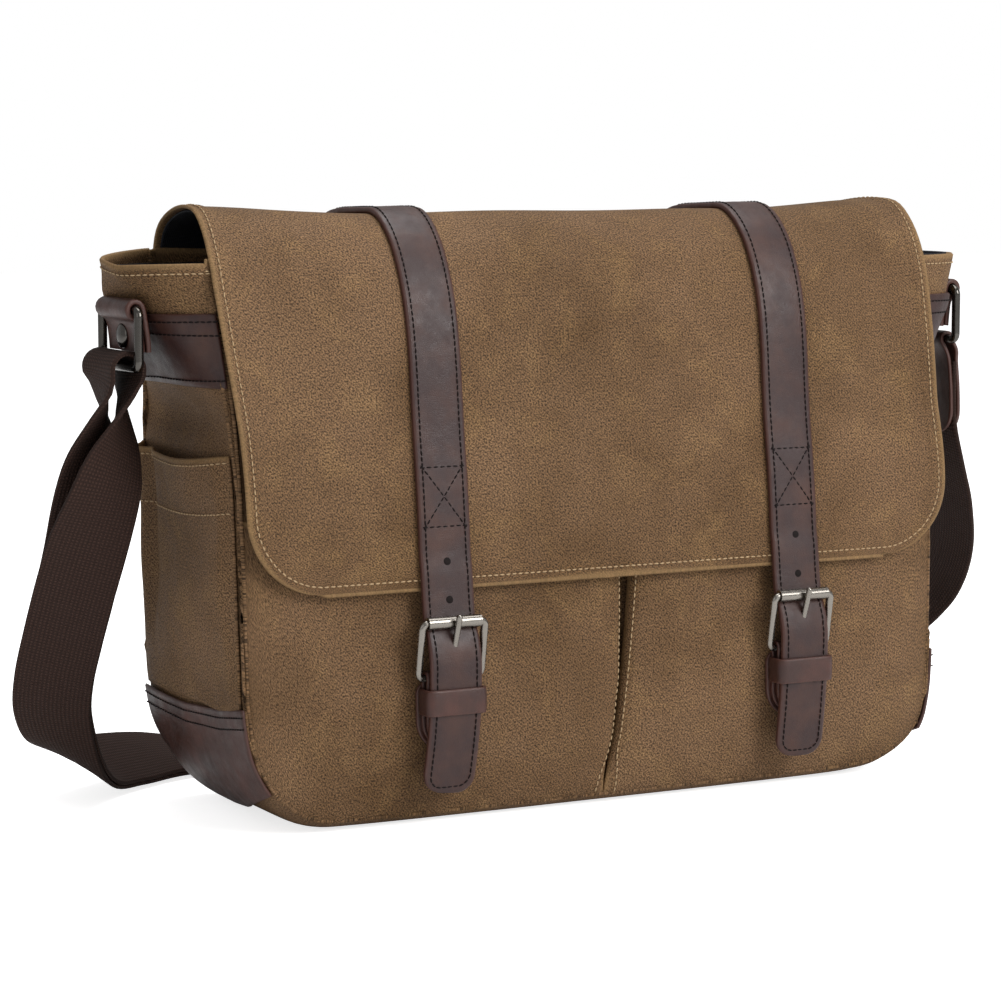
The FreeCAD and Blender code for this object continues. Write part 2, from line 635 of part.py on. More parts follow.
# ---- shoulder strap --------------------------------------------------------
def settle(side, point):
    """Place a route's point for this ring, this depth and this height."""
    out, y, z = point
    if z > ROUTE_LYING_Z:
        stretch = (RING_BAR_Z - ROUTE_LYING_Z) / (ROUTE_TOP_Z - ROUTE_LYING_Z)
        z = ROUTE_LYING_Z + (z - ROUTE_LYING_Z) * stretch
    return Vector(SIDES[side] * (RING_X[side] + out), y * DEPTH / ROUTE_DEPTH, z)


def smooth(route, steps):
    """More stations between the route's own, on a smooth curve through them."""
    fine = []
    for i in range(len(route) - 1):
        a, b = route[max(i - 1, 0)], route[i]
        c, d = route[i + 1], route[min(i + 2, len(route) - 1)]
        for j in range(steps):
            t = j / steps
            fine.append([(p1 * 2 + (p2 - p0) * t + (p0 * 2 - p1 * 5 + p2 * 4 - p3) * t ** 2
                          + (p1 * 3 - p0 - p2 * 3 + p3) * t ** 3) * 0.5
                         for p0, p1, p2, p3 in zip(a, b, c, d)])
    return fine + [list(route[-1])]


def frames(route):
    """Centre, unit width and unit normal at each station of a ribbon."""
    out = []
    for i, (p, w) in enumerate(route):
        along = (route[min(i + 1, len(route) - 1)][0] - route[max(i - 1, 0)][0]).normalize()
        wide = (w - along * w.dot(along)).normalize()
        out.append((p, wide, along.cross(wide)))
    return out


def ribbon(route, wide=WEBBING_WIDE, thick=WEBBING):
    sections = []
    for p, w, n in frames(route):
        a, b = w * (wide / 2), n * (thick / 2)
        sections.append([p - a - b, p + a - b, p + a + b, p - a + b])
    return loft(sections)


def below(z):
    return block((-FAR, FAR), (-FAR, FAR), (-FAR, z))


def above_floor(shape):
    return shape.common(block((-FAR, FAR), (-FAR, FAR), (0, FAR)))


def left_layers():
    """The two layers that come down from the left ring: the outer one and the inner one."""
    route = [(settle("left", p), Vector(*w), s) for p, w, s in LEFT_ROUTE]
    fine = smooth(route, 3)
    middle = frames([(p, w) for p, w, s in fine])
    spread = [s for p, w, s in fine]
    main = [(p - n * (s / 2), w) for (p, w, n), s in zip(middle, spread)]
    tail = [(p + n * (s / 2), w) for (p, w, n), s in zip(middle, spread)]
    return main, tail


def slide_points():
    """Stations of the strap over the slide's middle bar, and of the layer wound round it."""
    bar_z = 2 * WEBBING + LAP + 0.4 + SLIDE_BAR_R
    low = WEBBING * 1.5 + LAP + 0.1
    flat = Vector(0, -1, 0)
    top = bar_z + EYE_R + 0.4 + WEBBING / 2
    over = [(-24, low), (-18, low), (-12, low + 0.6), (-6.5, top - 3.0), (0, top), (6.5, top - 3.0),
            (13, 3.6), (20, WEBBING / 2 + 0.3), (40, WEBBING / 2 + 0.3)]
    main = [(Vector(SLIDE_X + x, SLIDE_Y * DEPTH / ROUTE_DEPTH, z), flat) for x, z in over]
    under = [(-24, WEBBING / 2 + 0.1), (-14, WEBBING / 2 + 0.1), (-5, bar_z - EYE_R + WEBBING / 2 - 0.2),
             (-1, bar_z - EYE_R + WEBBING / 2)]
    tail = [(Vector(SLIDE_X + x, SLIDE_Y * DEPTH / ROUTE_DEPTH, z), flat) for x, z in under]
    return main, tail, bar_z


def make_strap():
    main, tail = left_layers()
    over, under, bar_z = slide_points()
    right = [(settle("right", p), Vector(*w)) for p, w in RIGHT_ROUTE][::-1]
    cut_z = RING_BAR_Z - PIVOT_R
    start = below(cut_z - PIVOT_GAP / 2)
    fine = main + smooth(over + right, 3)
    bar = Vector(SLIDE_X, SLIDE_Y * DEPTH / ROUTE_DEPTH, bar_z)
    reach = Vector(0, WEBBING_WIDE / 2, 0)
    eye = rod(bar - reach, bar + reach, EYE_R)
    tail_end = ribbon(tail + smooth(under, 2)).fuse(eye)
    tail_end = tail_end.cut(rod(bar - reach * 2, bar + reach * 2, SLIDE_BAR_R + RUN)).removeSplitter()
    a, b = Vector(1, 0, 0), Vector(0, 1, 0)
    frame = wire_loop(loop_wire(SLIDE_LONG / 2 - SLIDE_BAR_R, WEBBING_WIDE / 2 + 3.2, 3.0, a, b, bar),
                      SLIDE_BAR_R)
    cross = rod(bar - b * (WEBBING_WIDE / 2 + 3.0), bar + b * (WEBBING_WIDE / 2 + 3.0), SLIDE_BAR_R)
    parts = {"shoulder_strap": above_floor(ribbon(fine).common(start)),
             "strap_tail": above_floor(tail_end.common(start)),
             "strap_slide": frame.fuse(cross).removeSplitter()}
    parts.update(make_strap_ends(main, tail))
    return parts


def make_strap_ends(main, tail):
    """Webbing round the left ring, and the leather tab and webbing end on the right one."""
    cut = block((-FAR, FAR), (-FAR, FAR), (RING_BAR_Z - PIVOT_R + PIVOT_GAP / 2, FAR))
    half = WEBBING_WIDE / 2
    legs = ribbon(main).fuse(ribbon(tail)).common(cut)
    a, b = main[0][0], tail[0][0]
    centre, radius = (a + b) * 0.5, (a - b).Length / 2
    arch = Part.makeCylinder(radius + WEBBING / 2, 2 * half, centre - Vector(0, half, 0), Vector(0, 1, 0))
    arch = arch.cut(Part.makeCylinder(radius - WEBBING / 2, 2 * half, centre - Vector(0, half, 0),
                                      Vector(0, 1, 0)))
    arch = arch.common(block((-FAR, FAR), (-FAR, FAR), (centre.z - 0.05, FAR)))
    loop = arch.fuse(legs).removeSplitter()

    bar = Vector(RING_X["right"], 0, RING_BAR_Z)
    wire = RING_WIRE / 2 + 0.3
    fold_x = bar.x + 3.0
    tip = RING_BAR_Z - END_TAB_DROP
    wide = END_TAB_WIDE / 2
    room = WEBBING / 2 + GAP
    layers = block((fold_x - TAB_LEATHER - room, fold_x + TAB_LEATHER + room),
                   (-wide, wide), (tip, RING_BAR_Z - 4))
    fold = Part.makeCylinder(wire + TAB_LEATHER, 2 * wide, bar - Vector(0, wide, 0), Vector(0, 1, 0))
    hole = Part.makeCylinder(wire, 2 * wide, bar - Vector(0, wide, 0), Vector(0, 1, 0))
    tongue_r = Part.makeCylinder(wide, 2 * FAR, Vector(-FAR, 0, tip + wide), Vector(1, 0, 0))
    shape = tongue_r.fuse(block((-FAR, FAR), (-wide, wide), (tip + wide, FAR)))
    slot = block((fold_x - room, fold_x + room), (-wide - 1, wide + 1),
                 (0, RING_BAR_Z - 9))
    tab = layers.fuse(fold).removeSplitter().cut(hole).common(shape).cut(slot)
    route = [(settle("right", p), Vector(*w)) for p, w in RIGHT_ROUTE][:3]
    stub_route = [(Vector(fold_x, 0, RING_BAR_Z - 12), Vector(0, -1, 0)),
                  (Vector(fold_x, 0, tip + 2), Vector(0, -1, 0)),
                  (Vector(fold_x + 0.3, 0, tip - 4), Vector(0, -1, 0))]
    stub_route += [r for r in route if r[0].z < tip - 8]
    stub = ribbon(smooth(stub_route, 3), WEBBING_WIDE).common(cut)
    return {"strap_loop_left": loop, "strap_tab_right": tab, "strap_end_right": stub}


# ---- all pieces ------------------------------------------------------------
def build():
    parts = {}
    parts.update(make_panels())
    parts["base_panel"] = make_base()
    parts.update(make_inside())
    parts.update(make_front_pockets())
    parts.update(make_flap())
    parts.update(make_strap())
    for side in SIDES:
        parts["gusset_" + side] = gusset_skin(side, -CANVAS, 0, CORNER_R, HEIGHT)
        parts["side_pocket_" + side] = make_side_pocket(side)
        parts["corner_patch_" + side] = make_patch(side)
        parts["side_band_" + side] = make_band(side)
        parts["ring_roll_" + side] = make_roll(side)
        parts["ring_rivet_" + side] = make_rivet(side)
        parts["ring_" + side] = make_ring(side)
        parts["flap_strap_" + side] = make_flap_strap(side)
        parts["buckle_frame_" + side] = make_buckle_frame(side)
        parts["buckle_roller_" + side] = make_roller(side)
        parts["buckle_prong_" + side] = make_prong(side)
        parts["chape_" + side] = make_chape(side)
        parts["keeper_" + side] = make_keeper(side)
        parts.update(make_snap(side))
    return parts


def main():
    os.makedirs("parts", exist_ok=True)
    for name, shape in sorted(build().items()):
        solids = shape.Solids
        shape = solids[0] if len(solids) == 1 else Part.makeCompound(solids)
        box = shape.optimalBoundingBox(False)
        print(f"{name:20s} solids {len(solids)} valid {shape.isValid()} volume {shape.Volume:10.0f}"
              f"  x {box.XMin:7.1f} {box.XMax:7.1f}  y {box.YMin:6.1f} {box.YMax:6.1f}"
              f"  z {box.ZMin:6.1f} {box.ZMax:6.1f}")
        shape.exportStep(f"parts/{name}.step")


main()
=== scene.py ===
"""Waxed-canvas messenger bag with leather trim: its visible pieces, finishes and stage.

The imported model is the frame. Lengths in this file are millimetres, turned to metres
where a mesh is made. X runs to the right, Y to the back and Z up.
"""
import math

import bmesh
import bpy
import numpy as np
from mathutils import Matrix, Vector


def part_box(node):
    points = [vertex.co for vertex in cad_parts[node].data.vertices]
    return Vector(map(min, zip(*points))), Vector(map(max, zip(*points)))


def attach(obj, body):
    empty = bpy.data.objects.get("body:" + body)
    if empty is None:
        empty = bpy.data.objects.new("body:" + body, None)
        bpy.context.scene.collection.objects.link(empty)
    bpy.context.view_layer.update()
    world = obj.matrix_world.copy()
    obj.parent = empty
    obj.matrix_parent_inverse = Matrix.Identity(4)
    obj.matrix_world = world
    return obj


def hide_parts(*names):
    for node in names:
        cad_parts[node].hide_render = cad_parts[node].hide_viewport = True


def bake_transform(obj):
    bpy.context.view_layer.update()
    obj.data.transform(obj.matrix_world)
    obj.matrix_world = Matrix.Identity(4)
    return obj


bl_info = {
    "name": "Messenger Bag",
    "version": (1, 0, 0),
    "blender": (4, 5, 0),
    "location": "View3D > Sidebar > Bag",
    "description": "Builds a waxed-canvas messenger bag piece by piece",
    "category": "Add Mesh",
}

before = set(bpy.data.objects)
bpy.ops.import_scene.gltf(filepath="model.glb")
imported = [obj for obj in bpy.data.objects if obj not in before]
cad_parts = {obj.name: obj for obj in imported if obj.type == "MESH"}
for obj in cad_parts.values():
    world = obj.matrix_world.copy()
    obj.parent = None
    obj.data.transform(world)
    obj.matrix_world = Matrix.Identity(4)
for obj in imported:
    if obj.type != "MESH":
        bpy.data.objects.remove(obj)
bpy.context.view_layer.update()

MM = 0.001
# finishes
CANVAS = "waxed canvas twill"
LEATHER = "oil-tanned leather"
RED_LEATHER = "oil-tanned leather, redder"
WEBBING_CLOTH = "cotton webbing"
LINING = "plain-woven lining"
NICKEL = "brushed nickel plate"
SMOKED_NICKEL = "smoked nickel plate"
TAN_THREAD = "tan thread"
# this colour is also the painted shade inside the strap holes, drawn as dark discs
DARK_THREAD_AND_HOLE_SHADE = "dark thread"
SIDES = {"left": -1, "right": 1}
WHITE = (1.0, 1.0, 1.0, 1.0)


def cad(node, corner, axis):
    """One side of a CAD node's box, in millimetres."""
    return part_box(node)[corner][axis] / MM


def cad_middle(node, axis):
    """Middle of a CAD node's box along an axis, in millimetres."""
    return (cad(node, 0, axis) + cad(node, 1, axis)) / 2


def cad_width(node):
    """Size of a CAD node's box from left to right, in millimetres."""
    return cad(node, 1, 0) - cad(node, 0, 0)


RIM_Z = cad("front_panel", 1, 2)
STRAP_X = {side: cad_middle("flap_strap_" + side, 0) for side in SIDES}
RING_X = {side: cad_middle("ring_" + side, 0) for side in SIDES}
RING_WIRE_R = 2.2
RING_BAR_Z = cad("ring_left", 0, 2) + RING_WIRE_R
RING_PIN_Z = cad("ring_left", 1, 2) - RING_WIRE_R


# ---- curves and grids -----------------------------------------------------
def spaced(line, step=None, count=None):
    """The same line with its stations evenly spaced."""
    line = np.asarray(line, float)
    far = np.r_[0, np.cumsum(np.linalg.norm(np.diff(line, axis=0), axis=1))]
    count = count or max(2, int(round(far[-1] / step)) + 1)
    at = np.linspace(0, far[-1], count)
    return np.stack([np.interp(at, far, line[:, k]) for k in range(line.shape[1])], 1)


def spline(points, step=None, count=None, fine=16):
    """A smooth curve through the points, evenly spaced."""
    p = np.asarray(points, float)
    ext = np.vstack([2 * p[0] - p[1], p, 2 * p[-1] - p[-2]])
    t = np.linspace(0, 1, fine, endpoint=False)[:, None]
    runs = []
    for a, b, c, d in zip(ext, ext[1:], ext[2:], ext[3:]):
        runs.append(0.5 * (2 * b + (c - a) * t + (2 * a - 5 * b + 4 * c - d) * t ** 2
                           + (3 * b - a - 3 * c + d) * t ** 3))
    return spaced(np.vstack(runs + [p[-1:]]), step, count)


def unit(v):
    return v / np.maximum(np.linalg.norm(v, axis=-1, keepdims=True), 1e-9)


def ramp(x, low, high):
    """0 below low, 1 above high, smooth between."""
    t = np.clip((np.asarray(x, float) - low) / (high - low), 0, 1)
    return t * t * (3 - 2 * t)


def hump(x, middle, width):
    return np.exp(-((np.asarray(x, float) - middle) / width) ** 2)


def face_normals(grid, closed=False):
    if closed:
        du = np.roll(grid, -1, 1) - np.roll(grid, 1, 1)
    else:
        du = np.gradient(grid, axis=1)
    return unit(np.cross(du, np.gradient(grid, axis=0)))


def lengths(grid, axis):
    """Running length along an axis of a grid, at every point."""
    step = np.linalg.norm(np.diff(grid, axis=axis), axis=-1)
    return np.insert(np.cumsum(step, axis=axis), 0, 0, axis=axis)


def border_walk(rows, cols):
    """Row and column of every point round a grid's border, in order."""
    around = [(0, c) for c in range(cols)] + [(r, cols - 1) for r in range(1, rows)]
    around += [(rows - 1, c) for c in range(cols - 2, -1, -1)]
    return around + [(r, 0) for r in range(rows - 2, 0, -1)]


def two_sided(outer, inner):
    """Faces of two layers of a sheet, from the indices of their points."""
    faces = []
    for r in range(outer.shape[0] - 1):
        for c in range(outer.shape[1] - 1):
            faces.append((outer[r, c], outer[r, c + 1], outer[r + 1, c + 1], outer[r + 1, c]))
            faces.append((inner[r, c], inner[r + 1, c], inner[r + 1, c + 1], inner[r, c + 1]))
    return faces


def inset_line(grid, side, inset, lift, trim=0):
    """Line a set distance in from one side of a grid, lifted off its face."""
    flip = {"top": (grid, 0), "bottom": (grid[::-1], 0), "left": (grid.swapaxes(0, 1), 1),
            "right": (grid[:, ::-1].swapaxes(0, 1), 1)}
    turned, kind = flip[side]
    normal = face_normals(grid)
    normal = {"top": normal, "bottom": normal[::-1], "left": normal.swapaxes(0, 1),
              "right": normal[:, ::-1].swapaxes(0, 1)}[side]
    lifted = turned + normal * lift
    far = lengths(turned, 0)
    cols = range(turned.shape[1])
    line = np.array([[np.interp(inset, far[:, c], lifted[:, c, k]) for k in range(3)] for c in cols])
    if trim:
        line = spaced(line, 1.0)[int(trim):-int(trim)]
    return line


# ---- meshes ---------------------------------------------------------------
def whole(faces):
    """Faces with plain whole numbers, as from_pydata needs them."""
    return [tuple(int(k) for k in face) for face in faces]


def add_mesh(name, verts, faces, uv, marks, material):
    """Object from vertices in millimetres, with a UV map in metres and named marks on its points."""
    mesh = bpy.data.meshes.new(name)
    mesh.from_pydata((np.asarray(verts) * MM).tolist(), [], faces)
    work = bmesh.new()
    work.from_mesh(mesh)
    bmesh.ops.recalc_face_normals(work, faces=work.faces)
    work.to_mesh(mesh)
    work.free()
    layer = mesh.uv_layers.new(name="UVMap")
    index = np.empty(len(mesh.loops), dtype=np.int32)
    mesh.loops.foreach_get("vertex_index", index)
    layer.data.foreach_set("uv", (np.asarray(uv)[index] * MM).ravel().astype(np.float32))
    for mark, values in marks.items():
        attribute = mesh.attributes.new(mark, "FLOAT", "POINT")
        attribute.data.foreach_set("value", np.asarray(values, dtype=np.float32))
    mesh.shade_smooth()
    caps = {key for face in mesh.polygons if face.loop_total > 4 for key in face.edge_keys}
    for line in mesh.edges:
        line.use_edge_sharp = line.key in caps
    mesh.materials.append(bpy.data.materials[material])
    obj = bpy.data.objects.new(name, mesh)
    bpy.context.scene.collection.objects.link(obj)
    return obj


def skin(name, grid, thick, material, closed=False, free="tblr"):
    """Sheet of cloth or leather: the grid is its outer face, and its edges are rounded.

    free names the borders that aren't sewn down: top, bottom, left and right of the grid.
    """
    rows, cols = grid.shape[:2]
    normal = face_normals(grid, closed)
    inner = grid - normal * thick
    u = lengths(grid, 1)
    u = u - u[:, cols // 2:cols // 2 + 1]
    v = lengths(grid, 0)
    full = lengths(grid, 1)
    edge = np.full_like(v, 40.0)
    for border, away in (("t", v), ("b", v[-1:] - v), ("l", full), ("r", full[:, -1:] - full)):
        if border in free and not closed:
            edge = np.minimum(edge, away)
    o = np.arange(rows * cols).reshape(rows, cols)
    i = o + rows * cols
    wrap = np.concatenate([o, o[:, :1]], 1) if closed else o
    wrap_in = np.concatenate([i, i[:, :1]], 1) if closed else i
    faces = two_sided(wrap, wrap_in)
    if closed:
        loops = [[(0, c, 1, c) for c in range(cols)], [(rows - 1, c, rows - 2, c) for c in range(cols)]]
    else:
        loops = [[(r, c, min(max(r, 1), rows - 2), min(max(c, 1), cols - 2))
                  for r, c in border_walk(rows, cols)]]
    verts = [grid.reshape(-1, 3), inner.reshape(-1, 3)]
    uvs = [np.stack([u, v], 2).reshape(-1, 2)] * 2
    edges, raw = [edge.ravel(), edge.ravel()], [np.zeros(edge.size * 2)]
    count = 2 * rows * cols
    for loop in loops:
        mid, mid_uv, mid_edge = [], [], []
        for r, c, r2, c2 in loop:
            out = unit(grid[r, c] - grid[r2, c2])
            mid.append((grid[r, c] + inner[r, c]) / 2 + out * thick * 0.45)
            mid_uv.append((u[r, c], v[r, c]))
            mid_edge.append(edge[r, c])
        m = count + np.arange(len(loop))
        count += len(loop)
        for k in range(len(loop)):
            n = (k + 1) % len(loop)
            a, b = o[loop[k][0], loop[k][1]], o[loop[n][0], loop[n][1]]
            c, d = i[loop[k][0], loop[k][1]], i[loop[n][0], loop[n][1]]
            faces += [(b, a, m[k], m[n]), (m[n], m[k], c, d)]
        verts.append(np.array(mid))
        uvs.append(np.array(mid_uv))
        edges.append(np.array(mid_edge))
        raw.append(np.ones(len(loop)))
    marks = {"edge": np.concatenate(edges), "raw": np.concatenate(raw)}
    return add_mesh(name, np.vstack(verts), whole(faces), np.vstack(uvs), marks, material)


def band(name, path, across, wide, thick, material, closed=False, crown=0.0, lanes=5, curl=0.0, part=None):
    """Flat strap swept along a path.

    wide and curl, how far it is cupped, are one number or one for each station. part keeps
    only the stations from one index to another, so that two pieces meet without a step.
    """
    path = np.asarray(path, float)
    n = len(path)
    half = np.broadcast_to(np.asarray(wide, float) / 2, (n,))
    cup = np.broadcast_to(np.asarray(curl, float), (n,))
    if closed:
        along = unit(np.roll(path, -1, 0) - np.roll(path, 1, 0))
    else:
        along = unit(np.gradient(path, axis=0))
    across = np.broadcast_to(np.asarray(across, float), (n, 3))
    across = unit(across - along * np.sum(across * along, 1)[:, None])
    normal = np.cross(along, across)
    t = thick / 2
    margin = min(1.4, thick * 0.6)
    flat = np.linspace(-1, 1, lanes)
    top = [(x, -margin, t) for x in flat]
    shape = [(-1, -0.1 * thick, t * 0.86)] + top + [(1, -0.1 * thick, t * 0.86), (1, 0, t * 0.35),
             (1, 0, -t * 0.35), (1, -0.1 * thick, -t * 0.86)]
    shape += [(x, m, -z) for x, m, z in top[::-1]] + [(-1, -0.1 * thick, -t * 0.86), (-1, 0, -t * 0.35),
                                                      (-1, 0, t * 0.35)]
    count = len(shape)
    verts, uv, raw = [], [], []
    far = np.r_[0, np.cumsum(np.linalg.norm(np.diff(path, axis=0), axis=1))]
    stations = range(*part) if part else range(n)
    n = len(stations)
    for s in stations:
        for x, m, z in shape:
            reach = max(half[s] + m, 0.02) * x
            if abs(z) < t * 0.9:
                lift = z
            else:
                lift = z + math.copysign(crown, z) * (1 - x * x)
            verts.append(path[s] + across[s] * reach + normal[s] * (lift + cup[s] * (1 - x * x)))
            uv.append((reach + (3 * half[s] if z < 0 else 0), far[s]))
            raw.append(1.0 if abs(z) < t * 0.9 else 0.0)
    faces = []
    for s in range(n if closed else n - 1):
        for k in range(count):
            a, b = s * count + k, s * count + (k + 1) % count
            c, d = ((s + 1) % n) * count + (k + 1) % count, ((s + 1) % n) * count + k
            faces.append((a, b, c, d))
    if not closed:
        faces += [tuple(range(count))[::-1], tuple((n - 1) * count + k for k in range(count))]
    return add_mesh(name, verts, faces, uv, {"raw": raw}, material)


def tips(far, wide, start=None, end=None):
    """Widths of a strap with rounded ends: far is the running length of its stations."""
    total = far[-1]
    out = np.full(len(far), float(wide))
    for radius, d in ((start, far), (end, total - far)):
        if radius:
            near = np.clip(d / radius, 0, 1)
            squeeze = np.sqrt(np.maximum(1 - (1 - near) ** 2, 0))
            out = np.minimum(out, wide - 2 * radius * (1 - squeeze) if wide > 2 * radius
                             else wide * squeeze)
    return np.maximum(out, 1.0)


def sideways(x):
    """Offsets to the right, one for each number."""
    return np.stack([x, 0 * x, 0 * x], 1)


def tip_stations(total, step, start=None, end=None):
    """Stations along a strap, closer together in its rounded ends."""
    arc = 1 - np.cos(np.linspace(0, math.pi / 2, 10))
    low = start * arc if start else np.array([0.0])
    high = total - end * arc[::-1] if end else np.array([total])
    middle = np.arange(low[-1] + step, high[0] - step / 2, step)
    return np.concatenate([low, middle, high])


def lay(line, stations, far=None):
    """Points of a line at given running lengths, counted along it or as far gives them."""
    if far is None:
        far = lengths(line, 0)
    return np.stack([np.interp(stations, far, line[:, k]) for k in range(line.shape[1])], 1)


def cut_strip(name, line, across, wide, thick, material, step, start, end, waist=0.0, **shape):
    """Leather strip along a line, with ends rounded to the radii start and end.

    waist is how much narrower it is in the middle of its length.
    """
    total = lengths(line, 0)[-1]
    stations = tip_stations(total, step, start, end)
    widths = tips(stations, wide, start, end) - waist * hump(stations, total / 2, 24.0)
    return band(name, lay(line, stations), across, widths, thick, material, **shape)


def lathe(name, profile, centre, axis, material, turns=32):
    """Turned piece: profile holds (radius, height) pairs from its middle to its edge and back."""
    axis = unit(np.asarray(axis, float))
    side = unit(np.cross(axis, (0, 1, 0) if abs(axis[1]) < 0.9 else (1, 0, 0)))
    other = np.cross(axis, side)
    verts, uv, faces = [], [], []
    for a in np.linspace(0, 2 * math.pi, turns, endpoint=False):
        for r, h in profile:
            verts.append(np.asarray(centre) + (side * math.cos(a) + other * math.sin(a)) * r + axis * h)
            uv.append((a * 5, r + h))
    count = len(profile)
    for k in range(turns):
        for j in range(count - 1):
            a, b = k * count + j, ((k + 1) % turns) * count + j
            faces.append((a, b, b + 1, a + 1))
    obj = add_mesh(name, verts, faces, uv, {}, material)
    work = bmesh.new()
    work.from_mesh(obj.data)
    bmesh.ops.remove_doubles(work, verts=work.verts, dist=1e-6)
    bmesh.ops.recalc_face_normals(work, faces=work.faces)
    work.to_mesh(obj.data)
    work.free()
    return obj


def join(name, objects):
    """One object from several, with all their marks and UVs."""
    with bpy.context.temp_override(active_object=objects[0], selected_editable_objects=objects):
        bpy.ops.object.join()
    objects[0].name = name
    return objects[0]


# ---- node trees -----------------------------------------------------------
def hex_colour(code):
    """Linear colour from an sRGB hex value."""
    out = []
    for k in (0, 2, 4):
        c = int(code[k:k + 2], 16) / 255
        out.append(c / 12.92 if c <= 0.04045 else ((c + 0.055) / 1.055) ** 2.4)
    return (*out, 1.0)


def node(tree, kind, inputs=None, **settings):
    """Add a node with its settings, and link or set its inputs."""
    made = tree.nodes.new(kind)
    for key, value in settings.items():
        setattr(made, key, value)
    for key, value in (inputs or {}).items():
        if isinstance(value, bpy.types.NodeSocket):
            tree.links.new(value, made.inputs[key])
        else:
            made.inputs[key].default_value = value
    return made


def stitch_tree():
    """Geometry nodes: thread stitches laid end to end along the mesh's edges."""
    tree = bpy.data.node_groups.new("Stitch Row", "GeometryNodeTree")
    face = tree.interface
    face.new_socket("Geometry", in_out="INPUT", socket_type="NodeSocketGeometry")
    for name, value in (("Pitch", 3.4), ("Stitch", 2.5), ("Thread", 0.8)):
        socket = face.new_socket(name, in_out="INPUT", socket_type="NodeSocketFloat")
        socket.default_value = value * MM
    face.new_socket("Material", in_out="INPUT", socket_type="NodeSocketMaterial")
    face.new_socket("Geometry", in_out="OUTPUT", socket_type="NodeSocketGeometry")
    start = node(tree, "NodeGroupInput")
    line = node(tree, "GeometryNodeMeshToCurve", {"Mesh": start.outputs["Geometry"]})
    points = node(tree, "GeometryNodeCurveToPoints", {"Curve": line.outputs[0],
                                                      "Length": start.outputs["Pitch"]}, mode="LENGTH")
    ball = node(tree, "GeometryNodeMeshUVSphere", {"Segments": 6, "Rings": 5, "Radius": 0.5})
    size = node(tree, "ShaderNodeCombineXYZ", {"X": start.outputs["Thread"], "Y": start.outputs["Thread"],
                                               "Z": start.outputs["Stitch"]})
    tilt = node(tree, "FunctionNodeRandomValue", {0: (-0.10, -0.10, 0.0), 1: (0.10, 0.10, 0.0), "Seed": 7},
                data_type="FLOAT_VECTOR")
    turned = node(tree, "FunctionNodeRotateRotation", {"Rotation": points.outputs["Rotation"],
                                                       "Rotate By": tilt.outputs[0]}, rotation_space="LOCAL")
    copies = node(tree, "GeometryNodeInstanceOnPoints",
                  {"Points": points.outputs["Points"], "Instance": ball.outputs["Mesh"],
                   "Rotation": turned.outputs[0], "Scale": size.outputs[0]})
    real = node(tree, "GeometryNodeRealizeInstances", {"Geometry": copies.outputs[0]})
    smooth = node(tree, "GeometryNodeSetShadeSmooth", {"Geometry": real.outputs[0]})
    painted = node(tree, "GeometryNodeSetMaterial", {"Geometry": smooth.outputs[0],
                                                     "Material": start.outputs["Material"]})
    node(tree, "NodeGroupOutput", {"Geometry": painted.outputs[0]})
    return tree


def stitches(name, lines, material, pitch=3.4, stitch=2.5, thread=0.8):
    """Plain mesh of stitches along lines given in millimetres."""
    mesh = bpy.data.meshes.new(name)
    verts, edges = [], []
    for line in lines:
        first = len(verts)
        line = spaced(line, 1.5)
        verts += [tuple(p * MM) for p in line]
        edges += [(first + k, first + k + 1) for k in range(len(line) - 1)]
    mesh.from_pydata(verts, edges, [])
    obj = bpy.data.objects.new(name, mesh)
    bpy.context.scene.collection.objects.link(obj)
    tree = bpy.data.node_groups.get("Stitch Row") or stitch_tree()
    modifier = obj.modifiers.new("Stitch Row", "NODES")
    modifier.node_group = tree
    values = {"Pitch": pitch * MM, "Stitch": stitch * MM, "Thread": thread * MM,
              "Material": bpy.data.materials[material]}
    for item in tree.interface.items_tree:
        if item.in_out == "INPUT" and item.name in values:
            modifier[item.identifier] = values[item.name]
    graph = bpy.context.evaluated_depsgraph_get()
    plain = bpy.data.meshes.new_from_object(obj.evaluated_get(graph))
    obj.modifiers.clear()
    obj.data = plain
    plain.name = name
    return obj


# ---- finishes -------------------------------------------------------------
def new_material(name):
    material = bpy.data.materials.new(name)
    material.use_nodes = True
    tree = material.node_tree
    tree.nodes.clear()
    return material, tree


def noise(tree, vector, scale, detail, **more):
    inputs = {"Vector": vector, "Scale": scale, "Detail": detail}
    inputs.update({key.title(): value for key, value in more.items()})
    return node(tree, "ShaderNodeTexNoise", inputs).outputs[0]


def bands(tree, vector, period, direction, **inputs):
    """Wave whose bands repeat every so many millimetres."""
    scale = 2 * math.pi / (20 * period * MM)
    wave = node(tree, "ShaderNodeTexWave", {"Vector": vector, "Scale": scale, **inputs},
                wave_type="BANDS", bands_direction=direction)
    return wave.outputs["Fac"]


def remap(tree, value, low, high, to_low=0.0, to_high=1.0, **settings):
    inputs = {"Value": value, "From Min": low, "From Max": high, "To Min": to_low, "To Max": to_high}
    return node(tree, "ShaderNodeMapRange", inputs, **settings).outputs[0]


def times(tree, value, factor):
    return node(tree, "ShaderNodeMath", {0: value, 1: factor}, operation="MULTIPLY").outputs[0]


def mix_colours(tree, share, first, second):
    return node(tree, "ShaderNodeMix", {0: share, 6: first, 7: second}, data_type="RGBA").outputs[2]


def mix_values(tree, share, first, second):
    return node(tree, "ShaderNodeMix", {0: share, 2: first, 3: second}, data_type="FLOAT").outputs[0]


def relief(tree, height, strength, depth_mm, over=None):
    """Bump of a depth in millimetres, over another one if need be."""
    inputs = {"Height": height, "Strength": strength, "Distance": depth_mm * MM}
    if over is not None:
        inputs["Normal"] = over
    return node(tree, "ShaderNodeBump", inputs).outputs[0]


